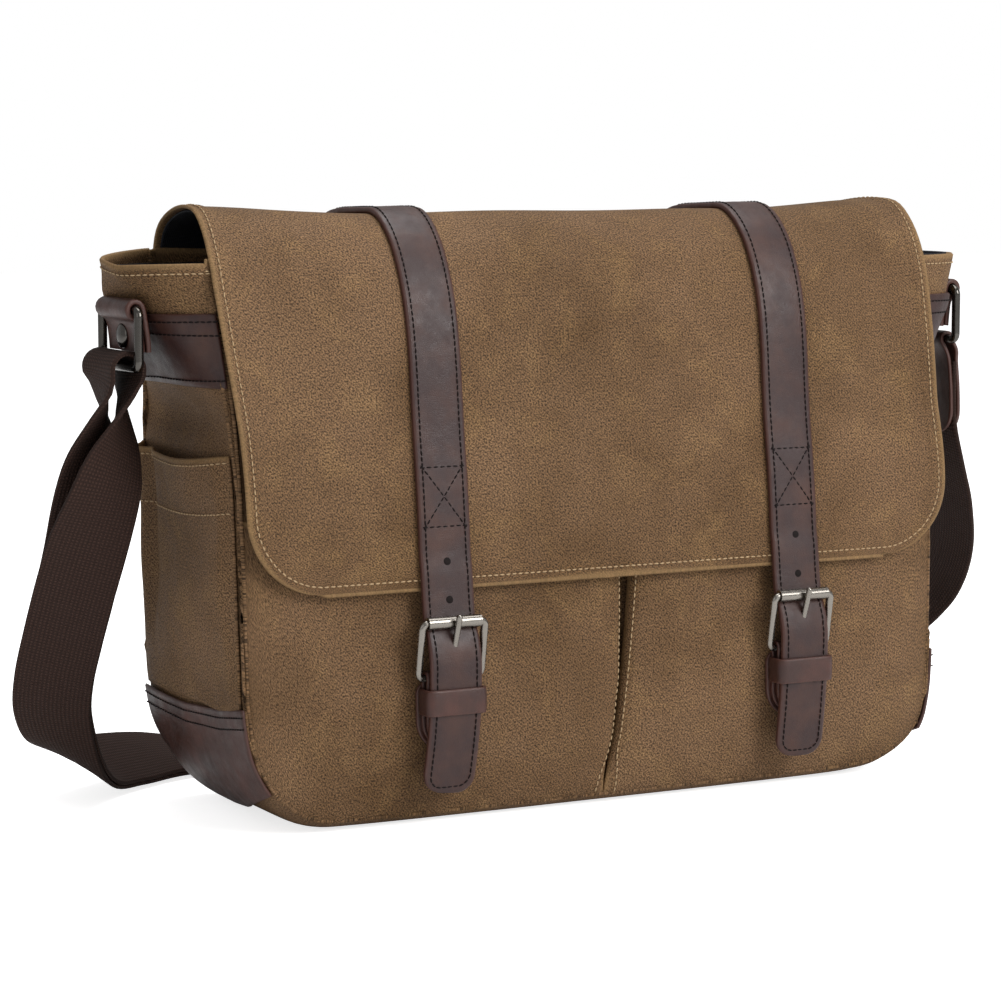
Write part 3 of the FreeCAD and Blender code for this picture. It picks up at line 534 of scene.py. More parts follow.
def surface(tree, colour, roughness, **inputs):
    named = {key.replace("_", " "): value for key, value in inputs.items()}
    shader = node(tree, "ShaderNodeBsdfPrincipled", {"Base Color": colour, "Roughness": roughness, **named})
    node(tree, "ShaderNodeOutputMaterial", {"Surface": shader.outputs[0]})


def mark(tree, name):
    return node(tree, "ShaderNodeAttribute", attribute_name=name).outputs["Fac"]


def object_place(tree):
    return node(tree, "ShaderNodeTexCoord").outputs["Object"]


def uv_place(tree):
    return node(tree, "ShaderNodeUVMap", uv_map="UVMap").outputs[0]


def waxed_canvas(name, base, light, dark, thread_mm):
    """Waxed cotton twill: the wax darkens it and turns pale where it is creased."""
    material, tree = new_material(name)
    place, uv = object_place(tree), uv_place(tree)
    clouds = noise(tree, place, 11.0, 5.0, roughness=0.62)
    tone = node(tree, "ShaderNodeValToRGB", {"Fac": clouds})
    for stop, position, colour in zip(tone.color_ramp.elements, (0.34, 0.62), (dark, base)):
        stop.position, stop.color = position, hex_colour(colour)
    rub = noise(tree, place, 38.0, 7.0, roughness=0.68, distortion=0.6)
    worn = mix_colours(tree, remap(tree, rub, 0.50, 0.74, 0.0, 0.3), tone.outputs[0], hex_colour(light))
    # yarns of a salt-and-pepper twill, drawn at about twice their real size so that they show
    twill = bands(tree, uv, thread_mm, "DIAGONAL", **{"Distortion": 2.6, "Detail": 2.0, "Detail Scale": 3.0})
    grain = noise(tree, uv, 1 / (thread_mm * MM), 2.0, roughness=0.8)
    weave = mix_values(tree, 0.18, remap(tree, grain, 0.36, 0.64), twill)
    shade = remap(tree, weave, 0.1, 0.9, 0.2, 1.85)
    yarn = node(tree, "ShaderNodeVectorMath", {0: worn, "Scale": shade}, operation="SCALE").outputs[0]
    # free edges turn paler: partly wax worn off there, partly a painted highlight on the rolled rim
    rim = remap(tree, mark(tree, "edge"), 0.0, 3.0, 0.5, 0.0, interpolation_type="SMOOTHSTEP")
    crease = noise(tree, place, 30.0, 4.0, distortion=0.8)
    fine = relief(tree, weave, 0.5, 0.4, relief(tree, crease, 0.45, 4))
    surface(tree, mix_colours(tree, rim, yarn, hex_colour(light)), remap(tree, rub, 0.3, 0.7, 0.6, 0.8),
            Normal=fine, Specular_IOR_Level=0.18)
    return material


def oiled_leather(name, base, glow, raw_colour, gloss=0.42):
    """Oil-tanned leather: pulled-up oil gives soft redder patches, and cut edges show the raw hide."""
    material, tree = new_material(name)
    place = object_place(tree)
    pull = remap(tree, noise(tree, place, 45.0, 6.0, roughness=0.6), 0.42, 0.72)
    hide = mix_colours(tree, pull, hex_colour(base), hex_colour(glow))
    final = mix_colours(tree, times(tree, mark(tree, "raw"), 0.75), hide, hex_colour(raw_colour))
    # grain cells about 0.9 mm across
    cells = node(tree, "ShaderNodeTexVoronoi", {"Vector": place, "Scale": 1 / (0.9 * MM)},
                 feature="DISTANCE_TO_EDGE")
    pores = remap(tree, cells.outputs["Distance"], 0.0, 0.18)
    wrinkle = noise(tree, place, 160.0, 5.0)
    fine = relief(tree, pores, 0.22, 0.25, relief(tree, wrinkle, 0.4, 0.7))
    surface(tree, final, remap(tree, wrinkle, 0.3, 0.7, gloss - 0.08, gloss + 0.14), Normal=fine,
            Coat_Weight=0.06, Coat_Roughness=0.35, Specular_IOR_Level=0.4)
    return material


def woven_webbing(name, base, light, pitch):
    """Heavy cotton webbing: thick yarns over and under each other, drawn at their real spacing."""
    material, tree = new_material(name)
    uv = uv_place(tree)
    ribs = bands(tree, uv, pitch, "X", Distortion=0.6)
    picks = bands(tree, uv, pitch * 0.8, "Y", Distortion=0.6)
    height = mix_values(tree, 0.3, times(tree, ribs, picks), noise(tree, uv, 700.0, 3.0))
    surface(tree, mix_colours(tree, height, hex_colour(base), hex_colour(light)), 0.82,
            Normal=relief(tree, height, 0.8, 0.7), Specular_IOR_Level=0.2)
    return material


def brushed_metal(name, colour, rough, grain):
    """Plated steel: fine brush lines break its reflections up."""
    material, tree = new_material(name)
    lines = noise(tree, object_place(tree), grain, 4.0, roughness=0.7)
    surface(tree, hex_colour(colour), remap(tree, lines, 0.3, 0.7, rough - 0.05, rough + 0.06),
            Metallic=1.0, Normal=relief(tree, lines, 0.03, 0.1))
    return material


def spun_thread(name, colour, shade):
    """Bonded sewing thread: two plies twisted."""
    material, tree = new_material(name)
    plies = noise(tree, object_place(tree), 1400.0, 2.0)
    surface(tree, mix_colours(tree, plies, hex_colour(shade), hex_colour(colour)), 0.75,
            Specular_IOR_Level=0.2)
    return material


# ---- the bag's body, as surfaces ------------------------------------------
# seam round the front and back, from the left rim to the right one: x, z
FRONT_SEAM = [(-200, 270), (-196.8, 240), (-194.3, 214), (-193, 185), (-193, 150), (-193, 114), (-192.4, 84),
              (-191.2, 60), (-187.5, 40), (-179, 23.5), (-167, 12.5), (-153, 6.2), (-130, 4.8), (-60, 4.4),
              (0, 4.4), (60, 4.4), (130, 4.8), (150, 5.6), (163, 7.2), (176, 13), (186.5, 23), (191.5, 38),
              (193.3, 60), (194, 88), (194, 150), (193.6, 185), (195, 214), (197.5, 240), (201, 270)]
BACK_SEAM = [(-196, 270), (-194, 240), (-193, 214), (-192.5, 185), (-192.5, 150), (-192.5, 114), (-192, 84),
             (-190.5, 60), (-186, 40), (-176, 23), (-165, 13), (-150, 6.5), (-130, 4.8), (-60, 4.4), (0, 4.4),
             (60, 4.4), (130, 4.8), (150, 6.5), (165, 13), (176, 23), (186, 40), (190.5, 60), (192, 84),
             (192.5, 114), (192.5, 150), (192.5, 185), (193, 214), (194, 240), (196, 270)]
FRONT_SEAM_Y = ([0, 30, 120, 160, 215, 256, 270], [-58.0, -60.4, -60.6, -57.0, -48.0, -40.5, -38.5])
BACK_SEAM_Y = ([0, 30, 180, 240, 270], [58.0, 60.0, 60.0, 49.0, 43.5])
APEX_OUT = {"left": ([0, 150, 185, 205, 240, 270], [0.8, 1.2, 1.6, 5.0, 21.0, 36.0]),
            "right": ([0, 150, 185, 205, 222, 240, 270], [0.8, 1.2, 1.6, 8.0, 22.0, 33.0, 38.0])}
STEPS = 601
FRONT_RUN = spline(FRONT_SEAM, count=STEPS)
BACK_RUN = spline(BACK_SEAM, count=STEPS)
MIDDLE = STEPS // 2


def level(side, z, run=FRONT_RUN):
    """Index along the seam where it is at height z on one side."""
    part = slice(0, MIDDLE) if side == "left" else slice(MIDDLE, STEPS)
    heights, index = run[part, 1], np.arange(STEPS)[part]
    order = np.argsort(heights)
    return np.interp(z, heights[order], index[order])


def run_at(run, index):
    return np.stack([np.interp(index, np.arange(STEPS), run[:, k]) for k in (0, 1)], -1)


def wall(index, t):
    """Points of the gusset and base: index along the seam, t from front to back."""
    index, t = np.broadcast_arrays(np.asarray(index, float), np.asarray(t, float))
    ahead, behind = run_at(FRONT_RUN, index), run_at(BACK_RUN, index)
    flat = ahead + (behind - ahead) * t[..., None]
    z = flat[..., 1]
    y0, y1 = np.interp(z, *FRONT_SEAM_Y), np.interp(z, *BACK_SEAM_Y)
    y = y0 + (y1 - y0) * t
    along = unit(run_at(FRONT_RUN, index + 1.5) - run_at(FRONT_RUN, index - 1.5))
    outward = np.stack([along[..., 1], -along[..., 0]], -1)
    side = np.where(index < MIDDLE, -1.0, 1.0)
    apex = np.where(side < 0, np.interp(z, *APEX_OUT["left"]), np.interp(z, *APEX_OUT["right"]))
    across = np.abs(2 * t - 1)
    bow = 1 - across ** np.where(side < 0, 2.4, 4.5)
    under = (1 - ramp(z, 4, 40)) * 4.9 * (1 - across ** 9)
    low = ramp(z, 30, 60) * (1 - ramp(z, 150, 175)) * 1.6 * np.sin(z / 17.0 + 4 * t) * bow
    full = np.where(side < 0, hump(t, 0.76, 0.15) * 9.0, hump(t, 0.7, 0.2) * 2.0)
    bulge = full * ramp(z, 200, 232) * (1 - ramp(z, 250, 274))
    fold = bow * (2.2 * hump(z, 181, 6) - 5.0 * hump(z, 195, 9) - 1.5 * hump(z + 14 * t, 205, 5))
    x = flat[..., 0] + side * (apex * bow + bulge + low + fold) + outward[..., 0] * under
    rim = np.where(side < 0, np.interp(t, [0, 0.35, 0.7, 1], [-2.0, -3.7, -0.2, 2.7]),
                   -5.0 * (1 - ramp(t, 0.9, 1.0)))
    z = z + outward[..., 1] * under + rim * ramp(z, 240, 270)
    return np.stack([x, y, z], -1)


def dent(x, z):
    """How far the front panel falls back behind the gap between the front pockets."""
    return 8.0 * hump(x, 11.0, 7.0) * (1 - ramp(z, 120, 165)) * ramp(z, 5, 18)


def side_rows(side, z_top, z_bottom, t, step=4.0):
    """Seam indices of a patch on one gusset, from its top line to its bottom line, for each t."""
    top = np.array([level(side, z) for z in np.broadcast_to(z_top, t.shape)])
    low = np.array([level(side, z) for z in np.broadcast_to(z_bottom, t.shape)])
    count = max(4, int(abs(np.mean(z_top) - np.mean(z_bottom)) / step) + 2)
    w = np.linspace(0, 1, count)[:, None]
    return top * (1 - w) + low * w


def facing(grid):
    """The grid, mirrored if need be, so that its face looks out of the bag."""
    normal = face_normals(grid)
    r, c = grid.shape[0] // 2, grid.shape[1] // 2
    away = grid[r, c] - np.array([0.0, 0.0, 130.0])
    return grid if np.dot(normal[r, c], away) > 0 else grid[:, ::-1]


def lifted(grid, out):
    """A grid moved out along its face by a distance, one number or one for each point."""
    return grid + face_normals(grid) * np.asarray(out, float)[..., None] if np.ndim(out) else \
        grid + face_normals(grid) * out


def seam_distance(x, z, run=FRONT_RUN):
    """How far points of a panel are from its sewn outline."""
    points = np.stack([x, z], -1)[..., None, :]
    return np.linalg.norm(points - run[::3], axis=-1).min(-1)


def panel_bottom(x, run=FRONT_RUN):
    """Height of the sewn outline under a given x."""
    low = run[:, 1] < 150
    order = np.argsort(run[low, 0])
    return np.interp(x, run[low, 0][order], run[low, 1][order])


def spread(low, high, count, ease=0.55):
    """Numbers from low to high, closer together at both ends."""
    t = np.linspace(0, 1, count)
    eased = (1 - np.cos(t * math.pi)) / 2
    return low + (high - low) * (t * (1 - ease) + eased * ease)


# ---- the flap -------------------------------------------------------------
FLAP_PROFILE = spline([(51.6, 244), (48.6, 262), (46.6, 273), (41, 283), (30, 290.3), (13, 295), (-5, 296.2),
                       (-21.5, 292.2), (-34.6, 278), (-43.8, 256), (-53.2, 220), (-59.8, 190), (-64.6, 165),
                       (-67.4, 138), (-68.2, 115.5)], step=1.0)
FLAP_LONG = len(FLAP_PROFILE) - 1.0
FLAP_CORNER = 37.0
HEM = 8.2


def flap_half(side, s):
    """Half width of the flap at a distance s along it, without its corners."""
    if side < 0:
        return np.interp(s, [0, 30, 60, 85, 105, 130, 150, 176, 218, 262, 293],
                         [190, 191, 192.5, 195.5, 197.5, 198.5, 198.5, 197, 194, 193, 191.5])
    return np.interp(s, [0, 30, 60, 85, 105, 150, 185, 218, 250, 293],
                     [190, 191, 193, 197, 199.5, 200, 198.5, 196, 197, 196.5])


def flap_at(x, s, lift=0.0):
    """Point on the flap's outer face: x across, s along it from its rear seam."""
    x, s = np.broadcast_arrays(np.asarray(x, float), np.asarray(s, float))
    at = np.arange(len(FLAP_PROFILE))
    far = lengths(FLAP_PROFILE, 0)
    y, z = np.interp(s, far, FLAP_PROFILE[:, 0]), np.interp(s, far, FLAP_PROFILE[:, 1])
    slope = np.gradient(FLAP_PROFILE, axis=0)
    ty, tz = np.interp(s, far, slope[:, 0]), np.interp(s, far, slope[:, 1])
    size = np.hypot(ty, tz)
    ny, nz = tz / size, -ty / size
    w = s / FLAP_LONG
    cloth = 0.9 * np.sin(x / 31.0 + 2.2 * w) * ramp(w, 0.45, 0.9) * (1 - ramp(w, 0.93, 1.0))
    cloth = cloth + 0.7 * np.sin(x / 19.0 - s / 37.0) * ramp(w, 0.2, 0.5) * (1 - ramp(w, 0.6, 0.95))
    side = 1.8 * ramp(np.abs(x), 150, 200) * ramp(w, 0.25, 0.5) * (1 - ramp(w, 0.75, 1.0))
    # it sags between its ends and swells over the full bag
    middle = 1 - ramp(np.abs(x), 110, 197)
    sag = middle * (7.0 * hump(s, 165, 48) - 4.6 * hump(s, 84, 30)) - 2.2 * hump(s, 88, 42)
    dip = -1.6 * (hump(x, STRAP_X["left"], 26) + hump(x, STRAP_X["right"], 26)) * hump(w, 0.62, 0.22)
    off = lift + cloth + side + sag + dip
    return np.stack([x, y + ny * off, z + nz * off], -1)


def flap_sides(s, inset=0.0):
    """Left and right edge of the flap at s, with its rounded lower corners, inset all round."""
    radius, end = FLAP_CORNER - inset, FLAP_LONG - inset
    into = np.clip(s - (end - radius), 0, radius)
    cut = radius - np.sqrt(np.maximum(radius ** 2 - into ** 2, 0))
    return -(flap_half(-1, s) - inset - cut), flap_half(1, s) - inset - cut


# ---- shoulder strap -------------------------------------------------------
# centre line between the two layers on the left, from the ring to the slide: x measured
# outwards from the ring, y, z, then the direction of the webbing's width and the layers' spread
LEFT_ROUTE = [
    (3.5, 0.0, 219.2, 0.00, 1.00, 0.00, 15.6), (3.5, 0.0, 212.0, 0.05, 1.00, 0.00, 15.2),
    (4.4, 0.0, 202.0, 0.34, 0.94, 0.00, 15.4), (7.2, 0.0, 184.0, 0.78, 0.62, 0.00, 14.6),
    (11.0, 0.5, 165.0, 0.98, 0.20, -0.06, 14.0), (13.2, 6.0, 147.0, 0.99, -0.10, -0.12, 12.0),
    (15.2, 12.5, 129.0, 0.94, -0.34, -0.14, 9.0), (17.4, 21.0, 109.0, 0.88, -0.46, -0.14, 7.0),
    (19.4, 30.5, 88.0, 0.88, -0.47, -0.12, 5.4), (20.2, 41.0, 67.0, 0.87, -0.48, -0.10, 4.4),
    (16.6, 53.0, 48.0, 0.85, -0.50, -0.15, 3.6), (5.0, 67.0, 28.0, 0.75, -0.58, -0.30, 3.0),
    (-14.0, 84.0, 15.5, 0.55, -0.66, -0.50, 2.7), (-37.0, 99.0, 13.0, 0.42, -0.74, -0.52, 2.6),
    (-64.0, 113.0, 10.8, 0.40, -0.82, -0.40, 2.6), (-100.0, 122.0, 6.2, 0.15, -0.97, -0.16, 2.6),
    (-135.0, 124.0, 2.9, 0.00, -1.00, 0.00, 2.6)]
RIGHT_ROUTE = [
    (4.5, 0.0, 171.0), (12.0, 4.0, 152.0), (21.5, 11.0, 133.0), (31.0, 22.0, 111.0), (36.5, 36.0, 91.0),
    (37.0, 50.0, 75.0), (32.0, 68.0, 58.0), (18.0, 88.0, 37.0), (-8.0, 107.0, 16.5), (-46.0, 120.0, 5.0),
    (-90.0, 124.0, 1.6), (-170.0, 125.0, 1.6)]
WEBBING = 2.2
WEBBING_WIDE = 38.0
CUPPED = 5.0
SPLIT_Z = 159.9
SLIDE = [cad_middle("strap_slide", axis) for axis in range(3)]


def left_layers():
    """Stations of the two layers that come down from the left ring: point and width direction."""
    rows = np.array(LEFT_ROUTE, float)
    rows[:, 0] = -(abs(RING_X["left"]) + rows[:, 0])
    fine = spline(rows, step=4.0)
    points, wide, gap = fine[:, :3], unit(fine[:, 3:6]), fine[:, 6]
    along = unit(np.gradient(points, axis=0))
    wide = unit(wide - along * np.sum(wide * along, 1)[:, None])
    normal = np.cross(along, wide)
    return points - normal * gap[:, None] / 2, points + normal * gap[:, None] / 2, wide


def over_slide():
    """Stations of the long run over the slide's middle bar, to the right along the floor."""
    low, top = WEBBING * 1.5 + 0.5, SLIDE[2] + 4.0 + 0.4 + WEBBING / 2
    shape = [(-24, low), (-18, low), (-12, low + 0.6), (-6.5, top - 3.0), (0, top), (6.5, top - 3.0),
             (13, 3.6), (20, 1.4), (40, 1.3)]
    return [(SLIDE[0] + x, SLIDE[1], z) for x, z in shape]


# ---- settings -------------------------------------------------------------
def size(label, about, value, low):
    return bpy.props.FloatProperty(name=label, description=about + ", mm", default=value, min=low)


def colour(label, about, value):
    return bpy.props.StringProperty(name=label, description=about, default=value)


class BagSizes(bpy.types.PropertyGroup):
    """Sizes that a user would change."""
    canvas_mm: size("Canvas", "Thickness of the canvas", 2.0, 1.0)
    leather_mm: size("Leather", "Thickness of the trim", 1.9, 1.0)
    strap_mm: size("Closing strap", "Thickness of the closing straps", 3.0, 1.5)
    strap_wide_mm: size("Strap width", "Width of the closing straps", cad_width("flap_strap_left"), 10.0)
    stitch_mm: size("Stitch pitch", "Distance between stitches", 3.3, 1.5)
    hem_mm: size("Hem stitch", "Stitch line in from a canvas edge", 3.8, 1.0)


class BagColours(bpy.types.PropertyGroup):
    """Colours as sRGB hex values."""
    canvas: colour("Canvas", "Waxed canvas", "6b523a")
    # also the colour of the pale rim on free edges, partly wear and partly painted highlight
    canvas_worn_and_rim_highlight: colour("Worn canvas and rim highlight", "Canvas where it is rubbed, and the painted highlight on its free edges", "937650")
    canvas_dark: colour("Deep canvas", "Canvas where the wax is thick", "563f27")
    leather: colour("Leather", "Oiled leather", "2f1b19")
    leather_warm: colour("Warm leather", "Where its oil is pulled up", "45291f")
    raw_edge: colour("Cut edge", "Raw edge of the leather", "4a2b23")
    webbing: colour("Webbing", "Strap webbing", "211511")
    thread: colour("Thread", "Canvas thread", "cbb089")


def sizes():
    return bpy.context.scene.bag_sizes


# ---- operators ------------------------------------------------------------
class BAG_OT_finishes(bpy.types.Operator):
    """Make every finish of the bag"""
    bl_idname = "bag.finishes"
    bl_label = "Finishes"

    def execute(self, context):
        c = context.scene.bag_colours
        waxed_canvas(CANVAS, c.canvas, c.canvas_worn_and_rim_highlight, c.canvas_dark, 0.9)
        oiled_leather(LEATHER, c.leather, c.leather_warm, c.raw_edge)
        oiled_leather(RED_LEATHER, "36201b", "502e25", c.raw_edge, gloss=0.42)
        woven_webbing(WEBBING_CLOTH, c.webbing, "49342c", 2.0)
        woven_webbing(LINING, "15161a", "2c2e34", 1.0)
        brushed_metal(NICKEL, "8a857e", 0.26, 900.0)
        brushed_metal(SMOKED_NICKEL, "5b5854", 0.2, 700.0)
        spun_thread(TAN_THREAD, c.thread, "80664a")
        spun_thread(DARK_THREAD_AND_HOLE_SHADE, "170c0a", "0a0504")
        return {"FINISHED"}


def finish(piece, body, slot, *nodes):
    """A piece that rides one body and hides the CAD nodes it stands for; slot is not used."""
    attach(piece, body)
    label(piece, slot, *nodes)


def finish_on_flap(piece, slot, *nodes):
    """Bake the piece's place into its mesh and hide the CAD nodes it stands for."""
    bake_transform(piece)
    label(piece, slot, *nodes)


def label(piece, slot, *nodes):
    if nodes:
        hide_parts(*nodes)


class BAG_OT_shell(bpy.types.Operator):
    """Make the canvas body: panels, gussets and base"""
    bl_idname = "bag.shell"
    bl_label = "Body"

    def execute(self, context):
        s = sizes()
        t = spread(0.0, 1.0, 34)
        tan = []
        for side in SIDES:
            index = side_rows(side, RIM_Z, 42.0, t, 4.0)
            grid = facing(wall(index, t[None, :]))
            gusset = skin("gusset_cloth_" + side, grid, s.canvas_mm, CANVAS, free="t")
            finish(gusset, "bag", "waxed_canvas", "gusset_" + side)
            tan.append(inset_line(grid, "top", 4.0, 0.35))
        low = np.arange(level("left", 46.0), level("right", 46.0), 2.0)[:, None]
        grid = facing(wall(low, t[None, :]))
        base = skin("base_cloth", lifted(grid, 0.15), s.canvas_mm, CANVAS, free="")
        finish(base, "bag", "waxed_canvas", "base_panel")
        front = self.panel(FRONT_RUN, -1)
        piece = skin("front_cloth", front, s.canvas_mm, CANVAS, free="b")
        finish(piece, "bag", "waxed_canvas", "front_panel")
        back = self.panel(BACK_RUN, 1)
        piece = skin("back_cloth", back, s.canvas_mm, CANVAS, free="b")
        finish(piece, "bag", "waxed_canvas", "back_panel")
        tan += [inset_line(front, "bottom", 5.0, 0.35), inset_line(back, "bottom", 5.0, 0.35)]
        rows = stitches("rim_stitches", tan, TAN_THREAD, s.stitch_mm)
        finish(rows, "bag", "waxed_canvas")
        return {"FINISHED"}

    def panel(self, run, side):
        """Front or back panel as a grid, rows from its bottom to its rim."""
        x = spread(-1.0, 1.0, 90)
        v = spread(0.0, 1.0, 60, 0.35)
        grid = np.zeros((len(v), len(x), 3))
        for c, u in enumerate(x):
            column = u * (run[-1, 0] - run[0, 0]) / 2 + (run[-1, 0] + run[0, 0]) / 2
            low = run[:, 0][run[:, 1] < 150]
            edge = np.clip(column, low.min() + 0.3, low.max() - 0.3)
            z0 = panel_bottom(edge, run)
            z = z0 + (RIM_Z - z0) * v
            lean = ramp(z, 150, RIM_Z)
            grid[:, c, 0] = edge + (column - edge) * lean
            grid[:, c, 2] = z
        d = seam_distance(grid[..., 0], grid[..., 2], run)
        z = grid[..., 2]
        if side < 0:
            y = np.interp(z, [0, 150, 215, 256, 270], [-57.0, -57.0, -46.0, -37.5, -35.2])
            y = y + (np.interp(z, *FRONT_SEAM_Y) - y) * (1 - ramp(d, 0, 9))
            grid[..., 1] = y + dent(grid[..., 0], z)
            return grid
        y = np.interp(z, [0, 150, 180, 240, 270], [59.5, 60.5, 59.5, 48.6, 43.2])
        y = y + 3.0 * ramp(d, 2, 60) * (1 - ramp(z, 170, 235))
        y = y - 2.2 * (1 - ramp(d, 0, 3.2))
        grid[..., 1] = y + 0.8 * np.sin(grid[..., 0] / 23.0 + z / 41.0) * ramp(d, 6, 40)
        grid[..., 2] = z + 2.7 * ramp(-grid[..., 0], 120, 192) * ramp(z, 240, 270)
        return grid[:, ::-1]


# laptop divider: half its width, its lower and upper edge, its middle and its sewn channels
PAD_HALF, PAD_LOW, PAD_HIGH, PAD_Y, PAD_CHANNEL = 176.0, 13.0, 215.0, 28.9, 44


class BAG_OT_inside(bpy.types.Operator):
    """Make the lining and the padded laptop divider"""
    bl_idname = "bag.inside"
    bl_label = "Inside"

    def execute(self, context):
        heights = np.r_[9.0, 14.0, 22.0, 34.0, np.arange(50, 262, 8.0), 262.0, 266.0]
        t = np.linspace(0.03, 0.97, 16)
        loops = []
        for z in heights:
            left, right = level("left", max(z, 9.0)), level("right", max(z, 9.0))
            lw = wall(np.full(16, left), t)
            rw = wall(np.full(16, right), t)
            lw[:, 0] += 3.4
            rw[:, 0] -= 3.4
            lw[:, 1] = np.clip(lw[:, 1], -500, np.interp(z, *BACK_SEAM_Y) - 3.5)
            for w in (lw, rw):
                w[:, 2] = z
            xs = np.linspace(lw[0, 0] + 4, rw[0, 0] - 4, 40)[1:-1]
            yf = np.interp(z, [0, 150, 215, 256, 270], [-53.6, -53.6, -42.6, -34.1, -31.8])
            yb = np.interp(z, [0, 150, 180, 240, 270], [55.5, 56.5, 55.5, 45.0, 39.8])
            lw[0, 1] = rw[0, 1] = yf
            lw[-1, 1] = rw[-1, 1] = yb
            ahead = np.stack([xs, yf + dent(xs, z), np.full_like(xs, z)], 1)
            behind = np.stack([xs[::-1], np.full_like(xs, yb), np.full_like(xs, z)], 1)
            loops.append(np.vstack([ahead, rw, behind, lw[::-1]]))
        tube = skin("lining_tube", np.array(loops), 0.8, LINING, closed=True)
        x, y = np.meshgrid(np.linspace(-158, 158, 40), np.linspace(-53, 55, 16))
        floor_grid = np.stack([x, y, 8.6 + 0.5 * np.sin(x / 27) * np.sin(y / 19)], -1)
        floor = skin("lining_floor", floor_grid, 0.8, LINING)
        lining = join("lining_cloth", [tube, floor])
        finish(lining, "bag", "lining_cloth", "lining")

        x, z = np.meshgrid(spread(-PAD_HALF, PAD_HALF, 60), spread(PAD_LOW, PAD_HIGH, 40))
        crown = np.minimum(ramp(np.abs(np.abs(x) - PAD_HALF), 0, 14),
                           ramp(np.minimum(z - PAD_LOW, PAD_HIGH - z), 0, 12))
        channel = 1 - 0.45 * hump((x + PAD_HALF) % PAD_CHANNEL - PAD_CHANNEL / 2, 0, 3.5)
        half = 0.7 + 2.6 * crown * channel
        ahead = np.stack([x, PAD_Y - half, z], -1)
        behind = np.stack([x, PAD_Y + half, z], -1)
        rows, cols = x.shape
        o = np.arange(rows * cols).reshape(rows, cols)
        i = o + rows * cols
        faces = two_sided(o, i)
        around = border_walk(rows, cols)
        for (r, c), (r2, c2) in zip(around, around[1:] + around[:1]):
            faces.append((o[r, c], i[r, c], i[r2, c2], o[r2, c2]))
        verts = np.vstack([ahead.reshape(-1, 3), behind.reshape(-1, 3)])
        uv = np.vstack([np.stack([x, z], -1).reshape(-1, 2)] * 2)
        pad = add_mesh("laptop_pad", verts, whole(faces), uv, {}, LINING)
        finish(pad, "bag", "lining_cloth", "laptop_sleeve")
        top = [(x, PAD_Y, PAD_HIGH + 0.3) for x in np.linspace(1 - PAD_HALF, PAD_HALF - 1, 60)]
        tape = band("pad_binding", top, (0, 1, 0), 5.0, 1.6, WEBBING_CLOTH)
        finish(tape, "bag", "lining_cloth")
        paint(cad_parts["base_board"], LINING)
        return {"FINISHED"}


def paint(obj, material):
    """Give a carried-over node its finish."""
    if obj.material_slots:
        for place in obj.material_slots:
            place.material = bpy.data.materials[material]
    else:
        obj.data.materials.append(bpy.data.materials[material])


POCKET_TOP = 150.0


